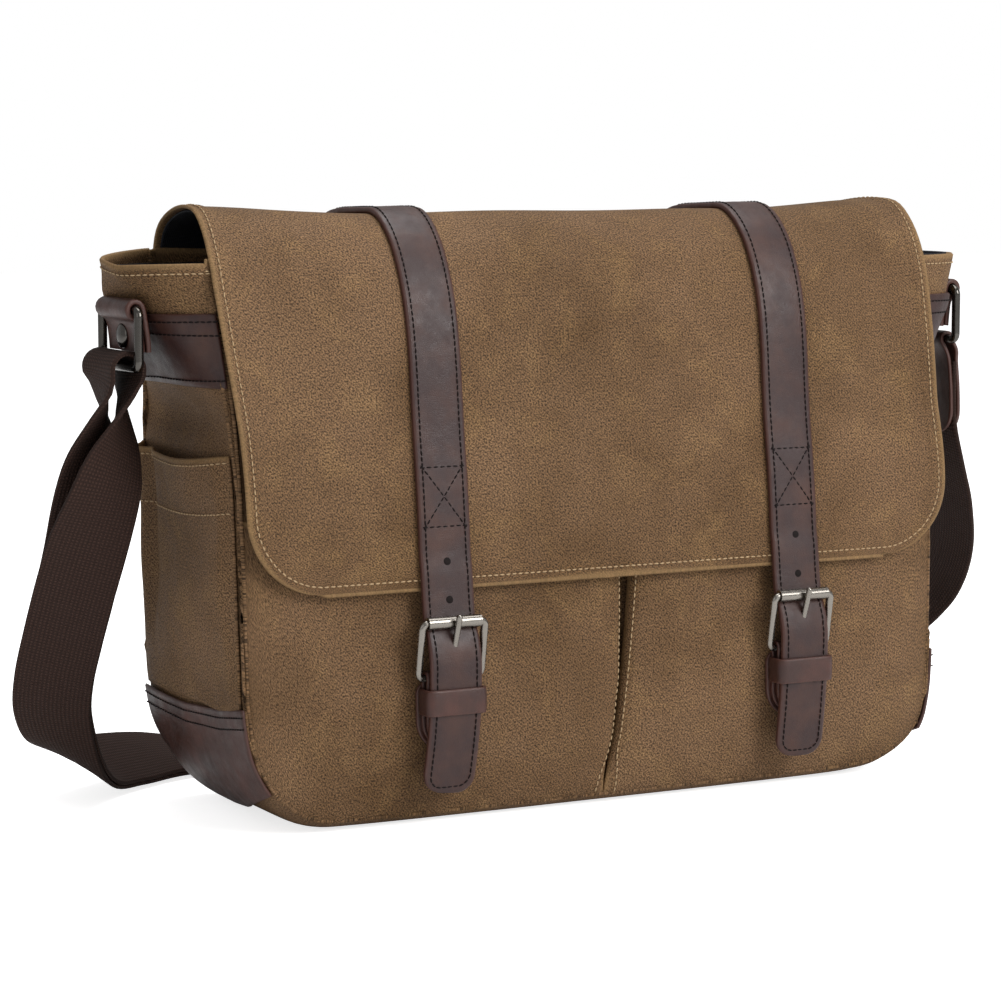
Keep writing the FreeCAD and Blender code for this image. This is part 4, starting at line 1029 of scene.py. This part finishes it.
class BAG_OT_pockets(bpy.types.Operator):
    """Make the front and side pockets"""
    bl_idname = "bag.pockets"
    bl_label = "Pockets"

    def execute(self, context):
        s = sizes()
        tan = []
        for side in SIDES:
            grid = self.front(side)
            piece = skin("pocket_cloth_" + side, grid, 1.6, CANVAS,
                         free="br" if side == "left" else "bl")
            finish(piece, "bag", "waxed_canvas", "front_pocket_" + side)
            tan.append(inset_line(grid, "right" if side == "left" else "left", 5.2, 0.35, 4))
        for side in SIDES:
            grid = self.side(side)
            piece = skin("side_pocket_cloth_" + side, grid, 1.6, CANVAS, free="t")
            finish(piece, "bag", "waxed_canvas", "side_pocket_" + side)
            tan += [inset_line(grid, "top", 26.0, 0.35, 2), inset_line(grid, "top", 2.6, 0.35, 2)]
        rows = stitches("pocket_stitches", tan, TAN_THREAD, s.stitch_mm)
        finish(rows, "bag", "waxed_canvas")
        return {"FINISHED"}

    def front(self, side):
        """Front pocket as a grid, rows from its mouth down to the seam."""
        z_all = np.array([150, 115, 90, 62, 35, 12, 4.0])
        if side == "left":
            gap = lambda z: np.interp(z, z_all[::-1], np.array([9.4, 9.7, 9.7, 9.2, 6.0, 0.4, -0.4])[::-1])
            x_of = lambda u, z: -192.6 + (gap(z) + 192.6) * u
        else:
            gap = lambda z: np.interp(z, z_all[::-1], np.array([15.8, 15.4, 13.6, 10.9, 7.3, 1.6, 0.5])[::-1])
            x_of = lambda u, z: gap(z) + (193.4 - gap(z)) * u
        u = spread(0.0, 1.0, 76, 0.75)
        v = spread(0.0, 1.0, 60, 0.5)
        grid = np.zeros((len(v), len(u), 3))
        for c, a in enumerate(u):
            x = np.full(len(v), x_of(a, 60.0))
            z = POCKET_TOP - v * (POCKET_TOP - panel_bottom(x) - 0.2)
            for _ in range(3):
                x = x_of(a, z)
                z = POCKET_TOP - v * (POCKET_TOP - panel_bottom(x) - 0.2)
            grid[:, c, 0], grid[:, c, 2] = x, z
        x, z = grid[..., 0], grid[..., 2]
        seam = seam_distance(x, z)
        slit = np.abs(x - gap(z))
        d = np.minimum(seam, slit * 1.1)
        body = 5.4 * (1 - np.exp(-d / 13.0)) * (0.62 + 0.38 * (1 - ramp(z, 60, 140)))
        body = body + 1.6 * hump(z, 46, 34) * ramp(d, 10, 60)
        roll = 3.2 * (1 - np.sqrt(np.clip(1 - (1 - np.clip(seam / 3.2, 0, 1)) ** 2, 0, 1)))
        lip = 4.5 * (1 - np.sqrt(np.clip(1 - (1 - np.clip(slit / 4.5, 0, 1)) ** 2, 0, 1))) * ramp(z, 8, 30)
        pucker = 0.35 * np.sin((x + z * 0.6) / 4.2) * np.exp(-seam / 9.0) * ramp(seam, 1, 5)
        pucker = pucker + 0.3 * np.sin(z / 4.7) * np.exp(-slit / 10.0) * ramp(slit, 1, 6)
        wave = 0.7 * np.sin(x / 26.0 + 1.3) * np.sin(z / 31.0) * ramp(d, 6, 40)
        y = np.interp(z, *FRONT_SEAM_Y) - (body + pucker + wave) + roll + lip
        # the flap lies over its upper part
        grid[..., 1] = np.maximum(y, np.interp(z, [84, 106], [-71.0, -63.3]))
        return grid[::-1]

    def side(self, side):
        """Side pocket as a grid, rows from its mouth down."""
        t = spread(0.035, 0.965, 40)
        top = 178.0 - 2.0 * np.sin(t * math.pi) + 2.0 * (1 - t)
        index = side_rows(side, top, 58.0, t, 3.0)
        grid = facing(wall(index, t[None, :]))
        z = grid[..., 2]
        tt = np.broadcast_to(t, z.shape)
        if grid[0, 0, 1] > 0:
            tt = tt[:, ::-1]
        side_ease = np.minimum(ramp(tt, 0.035, 0.12), ramp(1 - tt, 0.035, 0.12))
        out = 2.0 + 3.4 * side_ease * ramp(z, 60, 100)
        high = ramp(z, 70, 120)
        out = out + 2.6 * hump(tt, 0.86, 0.035) * high - 2.2 * hump(tt, 0.77, 0.03) * high
        out = out + 3.6 * hump(tt, 0.45, 0.25) * ramp(z, 130, 176)
        out = out + 0.6 * np.sin(z / 9.0 + tt * 7) * side_ease
        return lifted(grid, out)


class BAG_OT_trim(bpy.types.Operator):
    """Make the leather trim on the gussets: corner patches, bands, ring rolls and rivets"""
    bl_idname = "bag.trim"
    bl_label = "Leather trim"

    def execute(self, context):
        s = sizes()
        dark = []
        for side, sign in SIDES.items():
            t = spread(0.0, 1.0, 36)
            top = np.interp(t, [0, 0.25, 0.6, 1], [62.6, 57.5, 54.0, 55.0])
            bottom = np.interp(t, [0, 0.35, 0.75, 1], [23.0, 12.5, 7.2, 7.6])
            index = side_rows(side, top, bottom, t, 1.7)
            grid = lifted(facing(wall(index, t[None, :])), 1.0 + s.leather_mm)
            piece = skin("corner_leather_" + side, grid, s.leather_mm, RED_LEATHER)
            finish(piece, "bag", "leather", "corner_patch_" + side)
            dark += [inset_line(grid, "top", 3.0, 0.25), inset_line(grid, "top", 8.5, 0.25)]

            t = spread(0.0, 1.0, 34)
            index = side_rows(side, 245.0, 212.0, t, 3.0)
            grid = lifted(facing(wall(index, t[None, :])), 0.4 + s.leather_mm)
            piece = skin("band_leather_" + side, grid, s.leather_mm, LEATHER)
            finish(piece, "bag", "leather", "side_band_" + side)
            dark += [inset_line(grid, "top", 3.0, 0.25), inset_line(grid, "top", 9.5, 0.25),
                     inset_line(grid, "bottom", 3.0, 0.25)]
            self.roll(side, sign, s)
        rows = stitches("trim_stitches", dark, DARK_THREAD_AND_HOLE_SHADE, 3.0, 2.7, 0.85)
        finish(rows, "bag", "leather")
        return {"FINISHED"}

    def roll(self, side, sign, s):
        """Leather loop round the ring's upper bar, riveted to the band."""
        x = RING_X[side]
        inner, thick = 2.55, 2.6
        mid = inner + thick / 2
        loop = [(x - sign * (mid + 2.6), 0, 227.2), (x - sign * (mid + 2.2), 0, 233.0),
                (x - sign * (mid + 1.2), 0, 240.0)]
        for a in np.linspace(math.pi * 0.95, -math.pi * 0.45, 16):
            loop.append((x + sign * mid * math.cos(a), 0, RING_PIN_Z + mid * math.sin(a)))
        loop += [(x - sign * (mid - 2.2), 0, 240.2), (x - sign * (mid - 1.2), 0, 234.0),
                 (x - sign * (mid - 0.6), 0, 227.4)]
        path = spline(loop, step=1.6)
        piece = band("roll_leather_" + side, path, (0, 1, 0), 39.0, thick, RED_LEATHER, lanes=9)
        finish(piece, "bag", "leather", "ring_roll_" + side)
        head = [(0, 2.3), (2.8, 2.2), (4.8, 1.6), (5.8, 0.9), (6.1, 0.2), (5.8, -0.4), (0, -0.6)]
        centre = (x - sign * (mid - 2.6), 0, 234.4)
        piece = lathe("rivet_head_" + side, head, centre, (sign, 0, 0), SMOKED_NICKEL)
        finish(piece, "bag", "gunmetal", "ring_rivet_" + side)


class BAG_OT_flap(bpy.types.Operator):
    """Make the flap, its lining and its hem stitching"""
    bl_idname = "bag.flap"
    bl_label = "Flap"

    def execute(self, context):
        s = sizes()
        straight = np.arange(0, FLAP_LONG - FLAP_CORNER, 4.5)
        corner = FLAP_LONG - FLAP_CORNER + FLAP_CORNER * np.sin(np.linspace(0, math.pi / 2, 16))
        rows = np.r_[straight, corner]
        border = np.array([0, 1.2, 3.0, 5.0, 6.8, 7.8, 8.8, 10.2, 13.0]) / 396
        u = np.r_[border, np.linspace(0.042, 0.958, 96), 1 - border[::-1]]
        left, right = flap_sides(rows)
        x = left[:, None] + (right - left)[:, None] * u[None, :]
        inset = np.minimum(np.minimum(x - left[:, None], right[:, None] - x), FLAP_LONG - rows[:, None])
        hem = 0.8 * (1 - ramp(inset, HEM - 1.2, HEM + 0.8)) - 0.35 * hump(inset, s.hem_mm, 1.6)
        grid = flap_at(x, np.broadcast_to(rows[:, None], x.shape), hem)
        flap = skin("flap_cloth", grid[:, ::-1], 1.7, CANVAS, free="blr")
        finish_on_flap(flap, "waxed_canvas", "flap_outer")
        cut = rows[:-1]
        left, right = flap_sides(cut, 2.5)
        x = left[:, None] + (right - left)[:, None] * u[None, :]
        inner = flap_at(x, np.broadcast_to(cut[:, None], x.shape), -1.75)
        lining = skin("flap_lining_cloth", inner[:, ::-1], 0.9, LINING)
        finish_on_flap(lining, "lining_cloth", "flap_lining")
        lines = [self.outline(s.hem_mm)]
        rear = np.linspace(-190, 190, 120)
        lines += [flap_at(rear, np.full(120, d), 0.35) for d in (3.5, 9.0)]
        hem = stitches("flap_stitches", lines, TAN_THREAD, s.stitch_mm)
        finish_on_flap(hem, "waxed_canvas")
        return {"FINISHED"}

    def outline(self, inset):
        """Stitch line round the flap's free sides."""
        turn = np.sin(np.linspace(0, math.pi / 2, 24))
        rows = np.r_[np.arange(14, FLAP_LONG - FLAP_CORNER, 3.0),
                     FLAP_LONG - FLAP_CORNER + (FLAP_CORNER - inset) * turn]
        left, right = flap_sides(rows, inset)
        across = np.linspace(left[-1], right[-1], 120)[1:-1]
        x = np.r_[left, across, right[::-1]]
        at = np.r_[rows, np.full(len(across), rows[-1]), rows[::-1]]
        return flap_at(x, at, 0.8)


# how far the closing strap's middle is off the flap, and the radius of its tip
STRAP_REST = 1.7
TIP_R = 9.0
TIP_LEAN = {"left": -2.6, "right": -0.6}
STRAP_START = 51.0
HOLE_Z = (128.0, 110.0)
KEEPER_Z = 62.0


def strap_path(x, side):
    """Middle line of a closing strap: on the flap, then through the buckle to its tip."""
    on = flap_at(np.full(60, x), np.linspace(STRAP_START, FLAP_LONG - 12.0, 60), STRAP_REST)
    billet = [(-70.4, 122.0), (-71.6, 111.0), (-73.4, 99.5), (-75.6, 94.5), (-78.4, 88.0), (-79.9, 80.0),
              (-79.9, 72.5), (-79.6, 60.0), (-78.2, 42.0), (-75.5, 18.0)]
    free = np.array([(x + TIP_LEAN[side] * (1 - ramp(z, 16, 56)), y, z) for y, z in billet])
    on = on[(on[:, 2] > 128) | (on[:, 1] > 0)]
    return spline(np.vstack([on, free]), step=1.5, fine=4)


class BAG_OT_straps(bpy.types.Operator):
    """Make the closing straps with their folded ends, keepers and snap tabs"""
    bl_idname = "bag.straps"
    bl_label = "Closing straps"

    def execute(self, context):
        s = sizes()
        wide = s.strap_wide_mm
        for side in SIDES:
            x = STRAP_X[side]
            line = strap_path(x, side)
            piece = cut_strip("strap_leather_" + side, line, (1, 0, 0), wide, s.strap_mm, LEATHER, 2.5,
                              None, TIP_R, crown=0.35, lanes=7)
            finish_on_flap(piece, "leather", "flap_strap_" + side)
            self.stitching(side, line, wide, s)
            self.holes(side, line, s)
            self.fold(side, x, wide)
            self.keeper(side, x, wide)
            self.tab(side, x)
        return {"FINISHED"}

    def stitching(self, side, line, wide, s):
        """Rows along both edges, round the tip, and the crossed box."""
        along = unit(np.gradient(line, axis=0))
        face = -np.cross(along, (1.0, 0, 0))
        face = face * np.sign(-face[len(face) * 3 // 4, 1])
        top = line + face * (s.strap_mm / 2 + 0.25)
        far = lengths(line, 0)
        total = far[-1]
        inset = wide / 2 - 3.0
        radius = TIP_R - 3.0
        run = np.linspace(8, total - TIP_R, 160)
        arc = np.linspace(0, math.pi / 2, 12)
        tip = total - TIP_R + radius * np.sin(arc)
        across = inset - radius + radius * np.cos(arc)
        left = lay(top, run, far) + (-inset, 0, 0)
        bend = lay(top, tip, far) + sideways(-across)
        bend2 = lay(top, tip[::-1], far) + sideways(across[::-1])
        right = lay(top, run[::-1], far) + (inset, 0, 0)
        lines = [np.vstack([left, bend, bend2[1:], right])]
        z = top[:, 2]
        low, high = [np.interp(-v, -z[far > total / 3], far[far > total / 3]) for v in (144.0, 172.0)]
        for a, b in ((-1, 1), (1, -1)):
            lines.append(lay(top, np.linspace(high, low, 14), far) + sideways(np.linspace(a, b, 14) * inset))
        for stop in (high, low):
            lines.append(lay(top, np.full(8, stop), far) + sideways(np.linspace(-inset, inset, 8)))
        rows = stitches("strap_stitches_" + side, lines, DARK_THREAD_AND_HOLE_SHADE, 3.0, 2.7, 0.85)
        finish_on_flap(rows, "leather")

    def holes(self, side, line, s):
        """Punched holes, drawn as dark discs flush with the strap's face: their dark colour is painted shade
        for the inside of each hole.
        """
        shade_discs = []
        for z in HOLE_Z:
            k = int(np.argmin(np.abs(line[:, 2] - z) + (line[:, 1] > 0) * 999))
            along = unit(line[k + 1] - line[k - 1])
            out = unit(np.array([0, along[2], -along[1]]))
            profile = [(0, 0.06), (1.7, 0.06), (1.95, -0.05), (1.95, -0.6)]
            # painted shade: a dark disc where the shadowed inside of the hole would show
            shade_discs.append(lathe(f"hole_{side}_{int(z)}", profile, line[k] + out * (s.strap_mm / 2 + 0.36), out,
                              DARK_THREAD_AND_HOLE_SHADE, 20))
        piece = join("strap_holes_" + side, shade_discs)
        finish_on_flap(piece, "leather")

    def fold(self, side, x, wide):
        """Leather folded round the buckle's lower bar."""
        heel_y, heel_z = -73.5, 73.0
        r = 2.75
        loop = [(x, heel_y - r + 0.3, z) for z in (38.5, 48.0, 58.0, 66.0)]
        for a in np.linspace(math.pi, 0, 12):
            loop.append((x, heel_y + r * math.cos(a), heel_z + r * math.sin(a)))
        loop += [(x, heel_y + r - 0.1, z) for z in (66.0, 58.0, 48.0, 38.5)]
        line = spline(loop, step=1.2)
        piece = cut_strip("fold_leather_" + side, line, (1, 0, 0), wide, 1.8, RED_LEATHER, 1.6,
                          wide / 2, wide / 2)
        finish(piece, "flap", "leather", "chape_" + side)

    def keeper(self, side, x, wide):
        """Loop round the strap and the fold."""
        half = wide / 2 + 1.5
        y0, y1 = -82.4, -70.6
        corner = 2.4
        ring = []
        for cx, cy, start in ((half - corner, y0 + corner, -0.5), (half - corner, y1 - corner, 0.0),
                              (-half + corner, y1 - corner, 0.5), (-half + corner, y0 + corner, 1.0)):
            for a in np.linspace(start, start + 0.5, 6) * math.pi:
                ring.append((x + cx + corner * math.cos(a), cy + corner * math.sin(a), KEEPER_Z))
        ring = np.array(ring)
        ring = spaced(np.vstack([ring, ring[:1]]), 2.0)[:-1]
        piece = band("keeper_leather_" + side, ring, (0, 0, 1), 12.4, 1.9, RED_LEATHER, closed=True,
                     crown=0.2)
        finish(piece, "keeper_" + side, "leather", "keeper_" + side)

    def tab(self, side, x):
        """Tab sewn on the pocket behind the buckle."""
        wide = cad_width("snap_tab_" + side)
        line = np.array([(x, -68.6 + 0.3 * math.sin(z / 5), z) for z in np.linspace(70.5, 37.0, 40)])
        piece = cut_strip("tab_leather_" + side, line, (1, 0, 0), wide, 2.0, RED_LEATHER, 1.6, 6.0, wide / 2)
        finish(piece, "bag", "leather", "snap_tab_" + side)


class BAG_OT_hardware(bpy.types.Operator):
    """Finish the buckles, rings, snaps and slide"""
    bl_idname = "bag.hardware"
    bl_label = "Hardware"

    def execute(self, context):
        for side in SIDES:
            for part in ("buckle_frame_", "buckle_roller_", "buckle_prong_"):
                paint(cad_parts[part + side], NICKEL)
            for part in ("ring_", "snap_socket_", "snap_stud_"):
                paint(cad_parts[part + side], SMOKED_NICKEL)
        paint(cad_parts["strap_slide"], SMOKED_NICKEL)
        return {"FINISHED"}


class BAG_OT_shoulder_strap(bpy.types.Operator):
    """Make the webbing shoulder strap and its leather tab"""
    bl_idname = "bag.shoulder_strap"
    bl_label = "Shoulder strap"

    def execute(self, context):
        main, tail, wide = left_layers()
        split = int(np.argmax(main[:, 2] < SPLIT_Z + 3)) - 1
        under = ((-24, 1.3), (-14, 1.4), (-6, 3.2), (-1, 4.6), (3.6, 5.6), (3.4, 9.0), (0, 10.3), (-3.6, 9.2),
                 (-4.6, 6.6))
        flat = [(SLIDE[0] + x, SLIDE[1], z) for x, z in under]
        end = spline([tuple(tail[-1])] + flat, step=2.0)[1:]
        arch = self.arch(tail[0], main[0])
        ring, tip = RING_X["right"] + 3.0, RING_BAR_Z - 50.0
        right = np.array(RIGHT_ROUTE, float)
        right[:, 0] += RING_X["right"]
        run = spline(list(map(tuple, main[-3:])) + over_slide() + list(map(tuple, right[::-1]))
                     + [(ring, 0, tip + 14), (ring, 0, RING_BAR_Z - 12)], step=4.0)
        run = run[int(np.argmin(np.abs(run[:, 0] - main[-1, 0]))) + 1:]
        path = np.vstack([end[::-1], tail[::-1], arch, main, run])
        lying = (0.0, -1.0, 0.0)
        across = np.vstack([np.broadcast_to(lying, end.shape), wide[::-1],
                            np.broadcast_to(wide[0], arch.shape), wide, np.broadcast_to(lying, run.shape)])
        left = np.abs(np.arange(len(path)) - (len(end) + len(tail) + len(arch) / 2)) < 30
        curl = CUPPED * hump(path[:, 2], 200.0, 15.0) * left
        low = len(end) + len(tail) - 1 - split
        high = len(end) + len(tail) + len(arch) + split
        last = int(np.argmax((path[:, 0] > 150) & (path[:, 2] > SPLIT_Z - 1.5)))
        for name, part, node_name in (("webbing_tail", (0, low + 1), "strap_tail"),
                                      ("webbing_loop", (low, high + 1), "strap_loop_left"),
                                      ("webbing_long", (high, last + 1), "shoulder_strap"),
                                      ("webbing_end", (last, len(path)), "strap_end_right")):
            piece = band(name, path, across, WEBBING_WIDE, WEBBING, WEBBING_CLOTH, curl=curl, part=part)
            if node_name == "strap_loop_left":
                self.ring_side(piece, "webbing", node_name, "left")
            elif node_name == "strap_end_right":
                self.ring_side(piece, "webbing", node_name, "right")
            else:
                self.hang(piece, node_name)
        self.right_tab(ring, tip)
        return {"FINISHED"}

    def arch(self, a, b):
        """Half turn round the ring's lower bar, from one layer to the other."""
        centre, radius = (a + b) / 2, np.linalg.norm(a - b) / 2
        flip = np.sign(b[0] - a[0])
        turn = np.linspace(0, math.pi, 14)[1:-1]
        return np.array([centre + (-flip * radius * math.cos(t), 0, radius * math.sin(t)) for t in turn])

    def hang(self, piece, node_name):
        """Bake the webbing's place into its mesh and hide the CAD node it stands for."""
        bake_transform(piece)
        label(piece, "webbing", node_name)

    def right_tab(self, fold_x, tip):
        """Leather tab folded round the right ring, over the end of the webbing."""
        x, z0, r = RING_X["right"], RING_BAR_Z, 3.6
        arch = [(x + 0.2 + r * math.cos(a), 0, z0 + r * math.sin(a))
                for a in np.linspace(math.pi * 1.05, -0.25, 14)]
        heights = [tip, tip + 12, tip + 26, tip + 38]
        low = [(fold_x - 2.3, 0, z) for z in heights] + [(fold_x - 3.6, 0, z0 - 6)]
        high = [(fold_x + 3.0, 0, z0 - 6)] + [(fold_x + 2.3, 0, z) for z in heights[::-1]]
        line = spline(low + arch + high, step=1.5)
        piece = cut_strip("strap_tab_leather", line, (0, 1, 0), 39.5, 2.0, RED_LEATHER, 2.0, 12.0, 12.0,
                          waist=9.0)
        self.ring_side(piece, "leather", "strap_tab_right", "right")

    def ring_side(self, piece, slot, node_name, side):
        """Bake the piece's place into its mesh and hide the CAD node it stands for."""
        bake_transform(piece)
        label(piece, slot, node_name)


class BAG_OT_stage(bpy.types.Operator):
    """Make the floor, the studio lights and the camera"""
    bl_idname = "bag.stage"
    bl_label = "Stage"

    def execute(self, context):
        scene = context.scene
        material, tree = new_material("studio paper")
        seen = node(tree, "ShaderNodeLightPath")
        # its own glow, seen only by the camera, keeps the paper white to the horizon
        glow = times(tree, seen.outputs["Is Camera Ray"], 0.75)
        surface(tree, hex_colour("fdfdfd"), 0.9, Specular_IOR_Level=0.1, Emission_Color=WHITE,
                Emission_Strength=glow)
        mesh = bpy.data.meshes.new("floor")
        reach, below = 6.0, -0.0004
        corners = ((-1, -1), (1, -1), (1, 1), (-1, 1))
        mesh.from_pydata([(x * reach, y * reach, below) for x, y in corners], [], [(0, 1, 2, 3)])
        mesh.materials.append(material)
        floor = bpy.data.objects.new("floor", mesh)
        scene.collection.objects.link(floor)
        world = bpy.data.worlds.new("studio")
        world.use_nodes = True
        tree = world.node_tree
        seen = node(tree, "ShaderNodeLightPath")
        # the backdrop is brighter than the light it gives
        glow = remap(tree, seen.outputs["Is Camera Ray"], 0.0, 1.0, 0.42, 1.0)
        tree.nodes["Background"].inputs[0].default_value = WHITE
        tree.links.new(glow, tree.nodes["Background"].inputs[1])
        scene.world = world
        scene.view_settings.view_transform = "Standard"
        lamps = (("key light", (1.0, -2.2, 1.5), 50.0, 1.3), ("fill light", (-1.8, -1.2, 1.0), 3.0, 1.2),
                 ("top light", (0.3, 0.1, 2.2), 30.0, 1.4))
        for name, place, power, width in lamps:
            lamp = bpy.data.lights.new(name, "AREA")
            lamp.energy, lamp.size = power, width
            obj = bpy.data.objects.new(name, lamp)
            obj.location = place
            obj.rotation_euler = (Vector((0, 0, 0.15)) - Vector(place)).to_track_quat("-Z", "Y").to_euler()
            scene.collection.objects.link(obj)
        camera = bpy.data.cameras.new("camera")
        camera.lens, camera.sensor_width = 116.64, 36.0
        obj = bpy.data.objects.new("camera", camera)
        obj.location = (-0.7912, -1.4188, 0.3261)
        aim = Vector((-0.0255, 0.0, 0.1459)) - obj.location
        obj.rotation_euler = aim.to_track_quat("-Z", "Y").to_euler()
        scene.collection.objects.link(obj)
        scene.camera = obj
        return {"FINISHED"}


class BAG_PT_panel(bpy.types.Panel):
    """Lists the bag's pieces and sizes"""
    bl_idname = "BAG_PT_panel"
    bl_label = "Messenger Bag"
    bl_space_type = "VIEW_3D"
    bl_region_type = "UI"
    bl_category = "Bag"

    def draw(self, context):
        layout = self.layout
        for group in (context.scene.bag_sizes, context.scene.bag_colours):
            box = layout.box()
            for name in group.__annotations__:
                box.prop(group, name)
        for operator in OPERATORS:
            layout.operator(operator.bl_idname)


OPERATORS = (BAG_OT_stage, BAG_OT_finishes, BAG_OT_shell, BAG_OT_inside, BAG_OT_pockets, BAG_OT_trim,
             BAG_OT_flap, BAG_OT_straps, BAG_OT_hardware, BAG_OT_shoulder_strap)
CLASSES = (BagSizes, BagColours, *OPERATORS, BAG_PT_panel)


def register():
    for kind in CLASSES:
        bpy.utils.register_class(kind)
    bpy.types.Scene.bag_sizes = bpy.props.PointerProperty(type=BagSizes)
    bpy.types.Scene.bag_colours = bpy.props.PointerProperty(type=BagColours)


def unregister():
    del bpy.types.Scene.bag_colours, bpy.types.Scene.bag_sizes
    for kind in reversed(CLASSES):
        bpy.utils.unregister_class(kind)


def main():
    register()
    for operator in OPERATORS:
        group, name = operator.bl_idname.split(".")
        getattr(getattr(bpy.ops, group), name)()
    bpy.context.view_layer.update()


if __name__ == "__main__":
    main()
